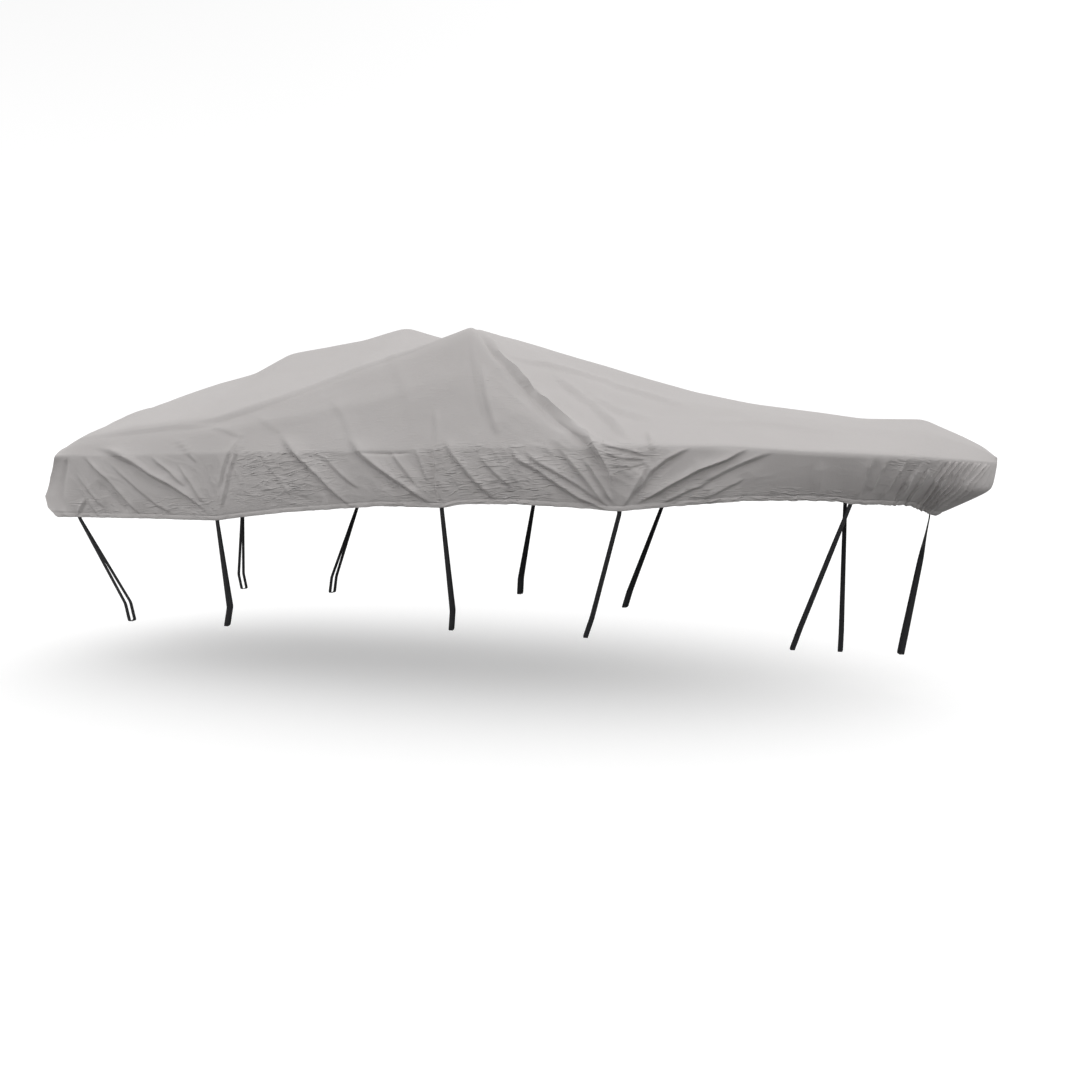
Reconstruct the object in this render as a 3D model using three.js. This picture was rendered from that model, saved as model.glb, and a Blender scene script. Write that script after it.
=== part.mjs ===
import * as THREE from 'three';

// A fitted cover for a runabout on its trailer: a tented deck panel, three skirts
// sewn round its edge, and eleven loops of webbing that hold its hem to the rails.
// Millimetres. +X points to the bow, +Y to port, +Z up. The origin is the underside
// of the cloth on top of the support pole.

// ---------- cloth ----------
const CLOTH = 3;
const HEM_CLOTH = 6;
const HEM_PROUD = 2;
const SEAM_GAP = 0.3;
const TRANSOM_GAP = 0.45;

// ---------- plan ----------
const STERN_X = -2025;
const TIP_X = 3690;
const HEM_TIP_X = 3365;
const HALF_BEAM = 1050;
const STERN_HALF_BEAM = 990;
const HEM_HALF_BEAM = 1015;
const HEM_STERN_HALF_BEAM = 960;
const TAPER_START_X = 900;
const HEM_TAPER_START_X = 700;
const BOW_FULLNESS = 2.2;
const HEM_BOW_FULLNESS = 2.4;
const BOW_BLUNTNESS = 1.35;
const RAKE_START_X = 2200;
const RAKE_POWER = 2.2;

// ---------- shape of the skirts ----------
const SIDE_BELLY = 10;
const STEM_KNEE = 115;
const STEM_KNEE_START_X = 2600;
const STEM_KNEE_POWER = 4.5;
const KNEE_ROUNDNESS = 0.0201;
const CORNER_LENGTH = 160;
const CORNER_TURN = 55;
const TRANSOM_HEM_X = -2030;
const CORNER_TURN_LOW = 1.1;
const TRANSOM_FLAT = 0.7;
const TRANSOM_EDGE_POWER = 3;
const TRANSOM_FOLD_POWER = 6;

// ---------- softness of the bends ----------
const SOFT_X = 50;
const SOFT_GUNWALE_X = 100;
const SOFT_ACROSS = 0.05;
const SOFT_HEM = 0.8;
const SOFT_KERNEL = table('at weight', [
  [-1, 1], [-0.6, 2], [-0.3, 2], [0, 2], [0.3, 2], [0.6, 2], [1, 1],
]);

// ---------- grid ----------
const NOSE_X = 3630;
const STEP = 4;
const ROW_STEP = 0.01;
const STATION_STEPS = table('from to count', [
  [STERN_X, -1700, 8], [-1700, -1100, 10], [-1100, -600, 12], [-600, 0, 8], [0, 400, 6],
  [400, 720, 6], [720, 800, 2], [800, 1300, 8], [1300, 1900, 14], [1900, 2800, 10],
  [2800, NOSE_X, 16],
]);
const NOSE_STATIONS = [3652, 3668, 3680, 3687];
const DECK_ROWS = [0, 0.06, 0.14, 0.22, 0.3, 0.36, 0.4, 0.44, 0.52, 0.64, 0.76, 0.88];
const STARBOARD_ROWS = DECK_ROWS.map((row) => row - 1);
const ACROSS = [...STARBOARD_ROWS, 0, ...STARBOARD_ROWS.map((across) => -across).reverse()];
const SHOULDER_ROW = 0.4;
const QUARTER_ROW = 0.7;
const CHEEK_ROW = 0.2;
const CHEEK_INSET = 0.42;
const CHEEK_HEIGHT = 0.55;
const SKIRT_ROWS = [0, 0.16, 0.33, 0.5, 0.67, 0.84, 0.93, 1];
const HEM_ROW = 0.93;

// One row for each section across the boat. gunwale is the height of the seam over the
// rail. The shoulder, where the side face meets the top, stands inset from the rail.
// crown lifts the cloth between the shoulder and the middle.
const SECTIONS = table('x gunwale inset shoulder crown middle', [
  [-2025, -828, 85, -782, 25, -668],
  [-1950, -824, 85, -738, 30, -580],
  [-1860, -822, 80, -700, 30, -480],
  [-1700, -826, 85, -675, 20, -396],
  [-1430, -823, 95, -625, 10, -317],
  [-1128, -812, 110, -598, 0, -244],
  [-860, -805, 118, -570, -10, -112],
  [-300, -792, 190, -415, -20, -32],
  [0, -785, 235, -305, -30, 36],
  [320, -777, 275, -196, -20, -65],
  [720, -764, 305, -50, 0, -62],
  [1122, -760, 138, -470, 60, -173],
  [1350, -759, 55, -640, 75, -241],
  [1500, -759, 22, -735, 80, -288],
  [1640, -759, 30, -728, 80, -331],
  [1950, -758, 30, -730, 70, -424],
  [2250, -760, 28, -734, 60, -486],
  [2540, -782, 28, -756, 50, -529],
  [2930, -804, 28, -778, 40, -588],
  [3280, -826, 26, -801, 20, -590],
  [3500, -842, 24, -818, 20, -696],
  [3640, -855, 20, -834, 10, -774],
  [3690, -862, 10, -846, 0, -836],
]);

const HEMLINE = table('x height', [
  [-2025, -1216], [-1370, -1210], [-840, -1208], [-720, -1190], [-390, -1150], [250, -1098],
  [620, -1102], [730, -1080], [1050, -1074], [1330, -1086], [1620, -1106], [1890, -1080],
  [2270, -1048], [2740, -1053], [2900, -1078], [3050, -1086], [3180, -1093], [3250, -1120],
  [3365, -1172],
]);

// How far the stern corners swell aft, from the rail (0) to the hem (1).
const CORNER_SWELL = table('down aft', [[0, 0], [0.35, 80], [0.67, 120], [0.85, 85], [1, 0]]);

// Folds. Each is a soft ridge along a path of [x, girth] points. Girth is measured from
// the rail seam, up the deck panel or, where it is negative, down the skirt. width is the
// half-width.
const FOLDS = table('path width rise', [
  // the crease from the windscreen's corner down to the forward strap
  [[[760, 820], [870, 630], [950, 540], [1040, 430], [1130, 350], [1210, 270], [1310, 180], [1430, 80],
    [1490, 20], [1540, -50], [1580, -130], [1610, -300]], 44, 24],
  // fan to the forward strap
  [[[1010, 30], [1080, -60], [1190, -120], [1290, -190], [1410, -270], [1580, -350]], 34, 17],
  [[[1290, 20], [1380, -80], [1460, -180], [1570, -330]], 32, 15],
  [[[2320, 10], [2180, -60], [2050, -110], [1890, -200], [1700, -320]], 36, 21],
  [[[2020, 10], [1890, -50], [1800, -120], [1690, -280]], 30, 15],
  // fan to the middle strap
  [[[20, 120], [80, 50], [140, -10], [230, -80], [370, -170], [470, -240], [580, -330]], 44, 23],
  [[[-420, 130], [-330, 40], [-240, -40], [-150, -120], [-80, -190], [-10, -260],
    [80, -340]], 40, 22],
  [[[630, 70], [700, -30], [810, -160], [960, -310]], 34, 15],
  // fan to the aft strap
  [[[-1700, 70], [-1530, 20], [-1400, -30], [-1270, -110], [-1140, -170], [-1010, -250],
    [-880, -370]], 42, 23],
  [[[-620, 120], [-680, 30], [-740, -60], [-770, -150], [-820, -330]], 30, 12],
  // stern quarter
  [[[-1800, 10], [-1690, -70], [-1600, -140], [-1480, -270], [-1380, -385]], 36, 18],
  // upright folds at the bow quarter, and gathers that run to the stem strap
  [[[2960, 20], [2940, -120], [2950, -280]], 32, 10],
  [[[3150, 10], [3120, -130], [3120, -290]], 30, 10],
  [[[3390, 10], [3380, -130], [3460, -370]], 16, 7],
  [[[3470, 0], [3460, -160], [3540, -400]], 16, 7],
  [[[3560, 0], [3550, -190], [3610, -420]], 16, 6],
]);
const FOLD_START = 0.3;
const FOLD_END = 0.78;

// To port each fold starts a little elsewhere, but runs to the same strap.
const PORT_DRIFT = 50;
const PORT_DRIFT_TURN = 1.7;
const PORT_DRIFT_PHASE = 0.5;
const PORT_RISE = 0.88;
const PORT_RISE_RANGE = 0.14;
const PORT_RISE_TURN = 2.3;

// The transom's folds: across is measured to port from the middle, down from the rail.
const TRANSOM_FOLDS = table('across down toAcross toDown width rise', [
  [-700, 60, -820, 560, 60, 14], [-380, 120, -300, 600, 70, 12], [-90, 60, -60, 620, 60, -9],
  [240, 100, 330, 620, 70, 13], [640, 60, 780, 560, 60, 13],
]);

// ---------- straps ----------
const WEBBING = 2.5;
const WEBBING_WIDTH = 25;
const STRAP_CLEARANCE = 1.2;
const LEG_SPACING = 3.4;
const STRAP_TOP_ROW = 0.972;
const STRAP_DROP = 26;
const STRAP_REACH = 75;
const RAIL_CORNER = 14;
const TURN_LENGTH = 420;
const CORNER_SAMPLES = 3;
const LONG_RUN = 300;
// One row for each loop: the station of its seam on the hem, then the middle of the loop's
// foot, the width and depth of the rail it goes round, and how far its legs part along the boat.
const STRAPS = [
  strap('strap_stern_starboard', -1, -1885, [-1720, 700, -1940], 60, 120, 6),
  strap('strap_aft_starboard', -1, -855, [-1000, 700, -1937], 60, 125, 14),
  strap('strap_mid_starboard', -1, 615, [550, 700, -1883], 60, 120, 8),
  strap('strap_fore_starboard', -1, 1625, [1350, 540, -1918], 60, 118, 16),
  strap('strap_bow_quarter_starboard', -1, 2937, [2560, 140, -2011], 50, 130, 6),
  strap('strap_stern_port', 1, -1885, [-1740, 700, -1940], 60, 120, 6),
  strap('strap_aft_port', 1, -850, [-960, 700, -1937], 60, 125, 10),
  strap('strap_mid_port', 1, 620, [580, 700, -1883], 60, 120, 8),
  strap('strap_fore_port', 1, 1640, [1400, 540, -1918], 60, 118, 12),
  strap('strap_bow_quarter_port', 1, 2955, [2855, 160, -2070], 50, 130, 10),
];
const STEM_STRAP = { top: [3334, 0, -1163], foot: [3200, 0, -2030], width: 60, depth: 120, part: 12 };

// ---------- materials ----------
const clothMaterial = new THREE.MeshStandardMaterial({ color: 0xada9a5, roughness: 0.82, metalness: 0 });
const webbingMaterial = new THREE.MeshStandardMaterial({ color: 0x17181b, roughness: 0.7, metalness: 0 });

// Rows of numbers become objects with the named columns.
function table(columns, rows) {
  const names = columns.split(' ');
  return rows.map((row) => Object.fromEntries(names.map((name, i) => [name, row[i]])));
}

function strap(name, side, station, foot, width, depth, part) {
  return { name, side, station, foot, width, depth, part };
}

// A table's column at x, by straight lines between its rows.
function between(rows, key, column, x) {
  const last = rows.length - 1;
  if (x <= rows[0][key]) return rows[0][column];
  if (x >= rows[last][key]) return rows[last][column];
  const i = rows.findIndex((row) => row[key] > x);
  const share = (x - rows[i - 1][key]) / (rows[i][key] - rows[i - 1][key]);
  return THREE.MathUtils.lerp(rows[i - 1][column], rows[i][column], share);
}

// The same, with its corners softened over a reach to each side.
function softened(rows, column, x, reach) {
  let sum = 0;
  let weights = 0;
  for (const { at, weight } of SOFT_KERNEL) {
    sum += weight * between(rows, 'x', column, x + at * reach);
    weights += weight;
  }
  return sum / weights;
}

// Half the width at a station, full as far as the taper and then drawn in to the tip.
function halfWidth(x, full, stern, taperStart, tip, fullness) {
  if (x < taperStart) {
    const aft = THREE.MathUtils.clamp(x / STERN_X, 0, 1);
    return full - (full - stern) * aft ** 2;
  }
  const along = Math.min((x - taperStart) / (tip - taperStart), 1);
  return full * (1 - along ** fullness) ** (1 / BOW_BLUNTNESS);
}

function railHalfWidth(x) {
  return halfWidth(x, HALF_BEAM, STERN_HALF_BEAM, TAPER_START_X, TIP_X, BOW_FULLNESS);
}

function hemHalfWidth(x) {
  const taper = HEM_TAPER_START_X;
  return halfWidth(x, HEM_HALF_BEAM, HEM_STERN_HALF_BEAM, taper, HEM_TIP_X, HEM_BOW_FULLNESS);
}

// The five corners of a half section, from the rail to the middle.
function sectionCorners(x) {
  const beam = railHalfWidth(x);
  const gunwale = softened(SECTIONS, 'gunwale', x, SOFT_GUNWALE_X);
  const inset = Math.min(softened(SECTIONS, 'inset', x, SOFT_X), beam / 2);
  const shoulder = softened(SECTIONS, 'shoulder', x, SOFT_X);
  const crown = softened(SECTIONS, 'crown', x, SOFT_X);
  const middle = softened(SECTIONS, 'middle', x, SOFT_X);
  return table('x y z', [
    [0, beam, gunwale],
    [CHEEK_ROW, beam - CHEEK_INSET * inset, gunwale + CHEEK_HEIGHT * (shoulder - gunwale)],
    [SHOULDER_ROW, beam - inset, shoulder],
    [QUARTER_ROW, (beam - inset) / 2, (shoulder + middle) / 2 + crown],
    [1, 0, middle],
  ]);
}

// The half section at a row from 0, the rail, to 1, the middle. Past 1 it is the other half.
function sectionPoint(corners, row) {
  const folded = row > 1 ? 2 - row : row;
  const y = between(corners, 'x', 'y', folded);
  return [row > 1 ? -y : y, between(corners, 'x', 'z', folded)];
}

// The half section at a row, with its corners softened.
function softSection(x, row) {
  const corners = sectionCorners(x);
  const reach = Math.min(SOFT_ACROSS, row);
  let y = 0;
  let z = 0;
  let weights = 0;
  for (const { at, weight } of SOFT_KERNEL) {
    const [cornerY, cornerZ] = sectionPoint(corners, row + at * reach);
    y += weight * cornerY;
    z += weight * cornerZ;
    weights += weight;
  }
  return [y / weights, z / weights];
}

// Brings the underside of the cloth on the support pole to the origin.
const LIFT = CLOTH - softSection(0, 1)[1];

// The deck panel without folds. across runs from -1, the starboard rail, to 1, the port one.
// Past the tip, x runs back along the other side.
function plainDeck(x, across) {
  const past = x > TIP_X;
  const station = past ? 2 * TIP_X - x : x;
  const [y, z] = softSection(station, 1 - Math.abs(across));
  const side = (across < 0 ? -1 : 1) * (past ? -1 : 1);
  return new THREE.Vector3(station, side * y, z + LIFT);
}

// A skirt without folds. down runs from 0, the rail seam, to 1, the hem.
function plainSkirt(x, down, side) {
  const past = x > TIP_X;
  const station = past ? 2 * TIP_X - x : x;
  const rail = plainDeck(x, side);
  const hem = hemPoint(station, past ? -side : side);
  const point = rail.clone().lerp(hem, down);
  const ahead = plainDeck(x + STEP, side);
  const behind = plainDeck(x - STEP, side);
  const along = ahead.sub(behind).setZ(0).normalize();
  const outward = new THREE.Vector3(-along.y, along.x, 0).multiplyScalar(side);
  point.addScaledVector(outward, belly(station, down));
  return swellCorner(point, station, down, side);
}

// The hem below a station of the rail. At the bow the stem's rake draws it aft.
function hemPoint(station, side) {
  const rake = THREE.MathUtils.clamp((station - RAKE_START_X) / (TIP_X - RAKE_START_X), 0, 1);
  const x = station - (TIP_X - HEM_TIP_X) * rake ** RAKE_POWER;
  const height = softened(HEMLINE, 'height', x, SOFT_X * SOFT_HEM);
  return new THREE.Vector3(x, side * hemHalfWidth(x), height + LIFT);
}

// How far a skirt bellies outward. Round the stem it has a rounded knee.
function belly(station, down) {
  const ahead = (station - STEM_KNEE_START_X) / (TIP_X - STEM_KNEE_START_X);
  const toStem = THREE.MathUtils.clamp(ahead, 0, 1) ** STEM_KNEE_POWER;
  const bluntAt = (height) => Math.sqrt(height ** 2 + KNEE_ROUNDNESS);
  const share = (bluntAt(1) - bluntAt(2 * down - 1)) / (bluntAt(1) - bluntAt(0));
  return SIDE_BELLY * Math.sin(Math.PI * down) + STEM_KNEE * toStem * share;
}

// At the stern corners the cloth swells aft as it turns in to the transom.
function swellCorner(point, station, down, side) {
  const near = 1 - THREE.MathUtils.smoothstep(station, STERN_X, STERN_X + CORNER_LENGTH);
  const aft = between(CORNER_SWELL, 'down', 'aft', down);
  point.x -= near * (aft + (STERN_X - TRANSOM_HEM_X) * down);
  point.y -= side * near * CORNER_TURN * Math.sin(Math.PI * Math.min(down * CORNER_TURN_LOW, 1));
  return point;
}

// How far off a path a place on the cloth lies, and how far along the path that is.
function besidePath(path, x, girth) {
  let off = Infinity;
  let along = 0;
  let length = 0;
  for (let i = 1; i < path.length; i += 1) {
    const [fromX, fromGirth] = path[i - 1];
    const stepX = path[i][0] - fromX;
    const stepGirth = path[i][1] - fromGirth;
    const step = Math.hypot(stepX, stepGirth);
    const reached = ((x - fromX) * stepX + (girth - fromGirth) * stepGirth) / step ** 2;
    const share = THREE.MathUtils.clamp(reached, 0, 1);
    const away = Math.hypot(x - fromX - share * stepX, girth - fromGirth - share * stepGirth);
    if (away < off) {
      off = away;
      along = length + share * step;
    }
    length += step;
  }
  return { off, along: along / length };
}

// Height of all the folds at a place on the cloth.
function foldRise(folds, x, girth) {
  let sum = 0;
  for (const { path, width, rise } of folds) {
    const { off, along } = besidePath(path, x, girth);
    const start = THREE.MathUtils.smoothstep(along, 0, FOLD_START);
    const end = 1 - THREE.MathUtils.smoothstep(along, FOLD_END, 1);
    sum += rise * start * end * Math.exp(-((off / width) ** 2));
  }
  return sum;
}

function portFold({ path, width, rise }, number) {
  const drift = PORT_DRIFT * Math.sin(PORT_DRIFT_TURN * number + PORT_DRIFT_PHASE);
  const last = path.length - 1;
  const moved = path.map(([x, girth], i) => [x + drift * (1 - i / last), girth]);
  const share = PORT_RISE + PORT_RISE_RANGE * Math.cos(PORT_RISE_TURN * number);
  return { path: moved, width, rise: rise * share };
}

const PORT_FOLDS = FOLDS.map(portFold);
const clothFolds = (side) => (side < 0 ? FOLDS : PORT_FOLDS);

// Distance round the section from the rail seam up to a row of the deck panel.
function deckGirth(x, across) {
  const row = 1 - Math.abs(across);
  const corners = sectionCorners(x);
  const [rail, , shoulder, , middle] = corners;
  const cheek = Math.hypot(rail.y - shoulder.y, rail.z - shoulder.z);
  const top = Math.hypot(shoulder.y - middle.y, shoulder.z - middle.z);
  if (row < SHOULDER_ROW) return (cheek * row) / SHOULDER_ROW;
  return cheek + (top * (row - SHOULDER_ROW)) / (1 - SHOULDER_ROW);
}

// Distance down a skirt from the rail seam.
function skirtGirth(x, down, side) {
  return -down * plainSkirt(x, 0, side).distanceTo(plainSkirt(x, 1, side));
}

// The outward direction of a surface, from points a short step to each side.
function surfaceNormal(surface, u, v, du, vLow, vHigh) {
  const alongU = surface(u + du, v).sub(surface(u - du, v));
  const alongV = surface(u, vHigh).sub(surface(u, vLow));
  return alongU.cross(alongV).normalize();
}

function deckNormal(x, across) {
  const low = Math.max(across - ROW_STEP, -1);
  const high = Math.min(across + ROW_STEP, 1);
  return surfaceNormal(plainDeck, x, across, STEP, low, high);
}

function skirtNormal(x, down, side) {
  const low = Math.max(down - ROW_STEP, 0);
  const high = Math.min(down + ROW_STEP, 1);
  const surface = (u, v) => plainSkirt(u, v, side);
  return surfaceNormal(surface, x, down, STEP, low, high).multiplyScalar(side);
}

function deckPoint(x, across) {
  const side = across < 0 ? -1 : 1;
  const rise = foldRise(clothFolds(side), x, deckGirth(x, across));
  const edge = Math.abs(across) === 1;
  const normal = edge ? seamNormal(x, side) : deckNormal(x, across);
  return plainDeck(x, across).addScaledVector(normal, rise);
}

function skirtPoint(x, down, side) {
  const rise = foldRise(clothFolds(side), x, skirtGirth(x, down, side));
  const normal = down === 0 ? seamNormal(x, side) : skirtNormal(x, down, side);
  const proud = down >= HEM_ROW ? HEM_PROUD : 0;
  return plainSkirt(x, down, side).addScaledVector(normal, rise + proud);
}

// Along the rail seam both panels share one direction of thickness.
function seamNormal(x, side) {
  return deckNormal(x, side).add(skirtNormal(x, 0, side)).normalize();
}

// The transom skirt, across from -1 to 1 as on the deck panel. Its two edges are the side
// skirts' corners, and its top edge is the deck panel's aft edge.
function transomPoint(across, down) {
  const side = across < 0 ? -1 : 1;
  const corner = down === 0 ? deckPoint(STERN_X, side) : skirtPoint(STERN_X, down, side);
  if (Math.abs(across) === 1) return corner;
  const top = deckPoint(STERN_X, across);
  const share = Math.min(Math.abs(top.y) / railHalfWidth(STERN_X), 1);
  const cornerHem = skirtPoint(STERN_X, 1, side);
  const hem = new THREE.Vector3(cornerHem.x, cornerHem.y * share, cornerHem.z);
  const bulge = corner.clone().sub(plainDeck(STERN_X, side).lerp(cornerHem, down));
  const edge = share ** TRANSOM_EDGE_POWER;
  const fade = Math.sin(Math.PI * down) * (1 - share ** TRANSOM_FOLD_POWER);
  const point = top.clone().lerp(hem, down);
  const drop = (top.z - hem.z) * down;
  point.x += bulge.x * (TRANSOM_FLAT + (1 - TRANSOM_FLAT) * edge) - fade * transomRise(top.y, drop);
  point.y += bulge.y * edge;
  return point;
}

function transomRise(y, drop) {
  let rise = 0;
  for (const fold of TRANSOM_FOLDS) {
    const along = THREE.MathUtils.clamp((drop - fold.down) / (fold.toDown - fold.down), 0, 1);
    const off = y - THREE.MathUtils.lerp(fold.across, fold.toAcross, along);
    rise += fold.rise * Math.exp(-((off / fold.width) ** 2));
  }
  return rise;
}

function transomNormal(across, down) {
  const low = Math.max(down - ROW_STEP, 0);
  const high = Math.min(down + ROW_STEP, 1);
  const left = Math.max(across - ROW_STEP, -1);
  const right = Math.min(across + ROW_STEP, 1);
  const alongY = transomPoint(right, down).sub(transomPoint(left, down));
  const alongZ = transomPoint(across, high).sub(transomPoint(across, low));
  return alongZ.cross(alongY).normalize().negate();
}

// ---------- building closed sheets ----------

// Two rims that face each other are split along the same diagonals.
const RIM_SPLIT = new THREE.Vector3(0.3, 0.5, 1);

// A sheet is a list of outer points, each with the point of the inner face behind it, and
// triangles on the outer face. Its free edges are closed by a rim.
class Sheet {
  constructor() {
    this.outer = [];
    this.inner = [];
    this.faces = [];
  }

  add(point, normal, thickness) {
    this.outer.push(point);
    this.inner.push(point.clone().addScaledVector(normal, -thickness));
    return this.outer.length - 1;
  }

  triangle(a, b, c) {
    this.faces.push([a, b, c]);
  }

  quad(a, b, c, d) {
    this.triangle(a, b, c);
    this.triangle(a, c, d);
  }

  grid(rows) {
    for (let i = 0; i < rows.length - 1; i += 1) {
      for (let j = 0; j < rows[i].length - 1; j += 1) {
        this.quad(rows[i][j], rows[i + 1][j], rows[i + 1][j + 1], rows[i][j + 1]);
      }
    }
  }

  geometry(flip = false) {
    const count = this.outer.length;
    const faces = flip ? this.faces.map(([a, b, c]) => [a, c, b]) : this.faces;
    const edges = new Set();
    for (const [a, b, c] of faces) {
      for (const [from, to] of [[a, b], [b, c], [c, a]]) edges.add(`${from} ${to}`);
    }
    const index = [];
    for (const [a, b, c] of faces) {
      index.push(a, b, c, a + count, c + count, b + count);
    }
    for (const edge of edges) {
      const [from, to] = edge.split(' ').map(Number);
      if (edges.has(`${to} ${from}`)) continue;
      const step = this.outer[to].clone().sub(this.outer[from]);
      const split = step.dot(RIM_SPLIT) > 0;
      if (split) index.push(to, from, from + count, to, from + count, to + count);
      else index.push(to, from, to + count, from, from + count, to + count);
    }
    const geometry = new THREE.BufferGeometry();
    geometry.setFromPoints([...this.outer, ...this.inner]);
    geometry.setIndex(index);
    geometry.computeVertexNormals();
    return geometry;
  }
}

function stationList() {
  const stations = [STERN_X];
  for (const { from, to, count } of STATION_STEPS) {
    for (let i = 1; i <= count; i += 1) stations.push(from + ((to - from) * i) / count);
  }
  return stations;
}

// ---------- the panels ----------

// Thickness direction where the deck panel, a side skirt and the transom skirt meet.
function cornerNormal(side) {
  const transom = transomNormal(side, ROW_STEP);
  return seamNormal(STERN_X, side).add(transom).normalize();
}

function deckEdgeNormal(x, across) {
  const side = across < 0 ? -1 : 1;
  if (x === STERN_X && Math.abs(across) === 1) return cornerNormal(side);
  if (x === STERN_X) return deckNormal(x, across).add(transomNormal(across, 0)).normalize();
  if (Math.abs(across) === 1) return seamNormal(x, side);
  return deckNormal(x, across);
}

// The panel's rail edges have twice as many stations as its middle.
function deckPanel() {
  const sheet = new Sheet();
  const stations = stationList();
  const put = (x, across) => sheet.add(deckPoint(x, across), deckEdgeNormal(x, across), CLOTH);
  const everySecond = stations.filter((x, i) => i % 2 === 0);
  const coarse = everySecond.map((x) => ACROSS.map((across) => put(x, across)));
  sheet.grid(coarse.map((row) => row.slice(1, -1)));
  const last = ACROSS.length - 1;
  for (let i = 0; i < coarse.length - 1; i += 1) {
    const halfway = stations[2 * i + 1];
    const [here, next] = [coarse[i], coarse[i + 1]];
    const starboard = put(halfway, -1);
    const port = put(halfway, 1);
    sheet.triangle(here[0], starboard, here[1]);
    sheet.triangle(starboard, next[1], here[1]);
    sheet.triangle(starboard, next[0], next[1]);
    sheet.triangle(here[last], here[last - 1], port);
    sheet.triangle(port, here[last - 1], next[last - 1]);
    sheet.triangle(port, next[last - 1], next[last]);
  }
  noseFan(sheet, coarse[coarse.length - 1], put);
  return sheet.geometry();
}

// Ahead of the last station the panel closes on the nose as a fan.
function noseFan(sheet, section, put) {
  const starboard = NOSE_STATIONS.map((x) => put(x, -1));
  const port = NOSE_STATIONS.map((x) => put(x, 1));
  const tip = sheet.add(deckPoint(TIP_X, -1), tipNormal(0), CLOTH);
  const rim = [...starboard].reverse().concat(section, port);
  for (let i = 0; i < rim.length - 1; i += 1) sheet.triangle(rim[i + 1], rim[i], tip);
}

// At the stem both sides share a direction that lies in the middle plane.
function tipNormal(down) {
  const normal = down === 0 ? seamNormal(TIP_X, 1) : skirtNormal(TIP_X, down, 1);
  return normal.setY(0).normalize();
}

function skirtEdgeNormal(x, down, side) {
  if (x === TIP_X) return tipNormal(down);
  if (x === STERN_X && down === 0) return cornerNormal(side);
  if (x === STERN_X) return skirtNormal(x, down, side).add(transomNormal(side, down)).normalize();
  return down === 0 ? seamNormal(x, side) : skirtNormal(x, down, side);
}

// A skirt's top edge stands a seam's gap below the deck panel, and at the stem each skirt
// stops half a gap short of the middle.
function sideSkirt(side) {
  const sheet = new Sheet();
  const stations = [...stationList(), ...NOSE_STATIONS, TIP_X];
  const rows = stations.map((x) => SKIRT_ROWS.map((down) => {
    const normal = skirtEdgeNormal(x, down, side);
    const point = skirtPoint(x, down, side);
    if (down === 0) point.add(seamShift(x, normal, side));
    if (x === TIP_X) point.setY((side * SEAM_GAP) / 2);
    return sheet.add(point, normal, down < HEM_ROW ? CLOTH : HEM_CLOTH);
  }));
  sheet.grid(rows);
  return sheet.geometry(side < 0);
}

// The step of one seam gap away from the deck panel, square to the seam.
function seamShift(x, normal, side) {
  const along = plainDeck(x + STEP, side).sub(plainDeck(x - STEP, side)).normalize();
  const away = along.cross(normal).normalize();
  return away.multiplyScalar(away.z < 0 ? SEAM_GAP : -SEAM_GAP);
}

// The step of a seam gap from a side skirt's corner towards the middle of the transom.
function cornerShift(down, normal, side) {
  const high = Math.max(down - ROW_STEP, 0);
  const low = Math.min(down + ROW_STEP, 1);
  const along = skirtPoint(STERN_X, low, side).sub(skirtPoint(STERN_X, high, side)).normalize();
  const away = along.cross(normal).normalize();
  return away.multiplyScalar(away.y * side < 0 ? TRANSOM_GAP : -TRANSOM_GAP);
}

function transomEdgeNormal(across, down) {
  const side = across < 0 ? -1 : 1;
  const edge = Math.abs(across) === 1;
  if (edge && down === 0) return cornerNormal(side);
  if (edge) return skirtNormal(STERN_X, down, side).add(transomNormal(side, down)).normalize();
  if (down === 0) return deckNormal(STERN_X, across).add(transomNormal(across, 0)).normalize();
  return transomNormal(across, down);
}

function transomSkirt() {
  const sheet = new Sheet();
  const rows = ACROSS.map((across) => SKIRT_ROWS.map((down) => {
    const point = transomPoint(across, down);
    if (down === 0) point.z -= TRANSOM_GAP;
    const normal = transomEdgeNormal(across, down);
    if (Math.abs(across) === 1) point.add(cornerShift(down, normal, across));
    return sheet.add(point, normal, down < HEM_ROW ? CLOTH : HEM_CLOTH);
  }));
  sheet.grid(rows);
  return sheet.geometry();
}

// ---------- the straps ----------

// A loop of webbing: down from the hem, round under the rail, and back up.
function strapGeometry({ top, down, inward, hemway, foot, width, depth, part, side }) {
  const [footX, footY, footZ] = foot;
  const outerY = side * (footY + width / 2);
  const innerY = side * (footY - width / 2);
  const front = top.clone();
  const back = top.clone().addScaledVector(inward, LEG_SPACING);
  const frontNeck = front.clone().addScaledVector(down, STRAP_DROP);
  const backNeck = back.clone().addScaledVector(down, STRAP_DROP);
  const slant = (front.x - footX) * (depth / (front.z - footZ));
  const corners = [
    front,
    frontNeck,
    new THREE.Vector3(footX + slant + part / 2, outerY, footZ + depth),
    new THREE.Vector3(footX + part / 2, outerY, footZ),
    new THREE.Vector3(footX - part / 2, innerY, footZ),
    new THREE.Vector3(footX + slant - part / 2, innerY, footZ + depth),
    backNeck,
    back,
  ];
  return webbing(roundedPath(corners, RAIL_CORNER), hemway);
}

function midway(from, to) {
  return [0.2, 0.4, 0.6, 0.8].map((share) => from.clone().lerp(to, share));
}

// The point on the way from a corner to its neighbour where the curve starts.
function curveEnd(corner, neighbour, radius) {
  const way = neighbour.clone().sub(corner);
  return corner.clone().addScaledVector(way.clone().normalize(), Math.min(radius, way.length() / 2.2));
}

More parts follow.
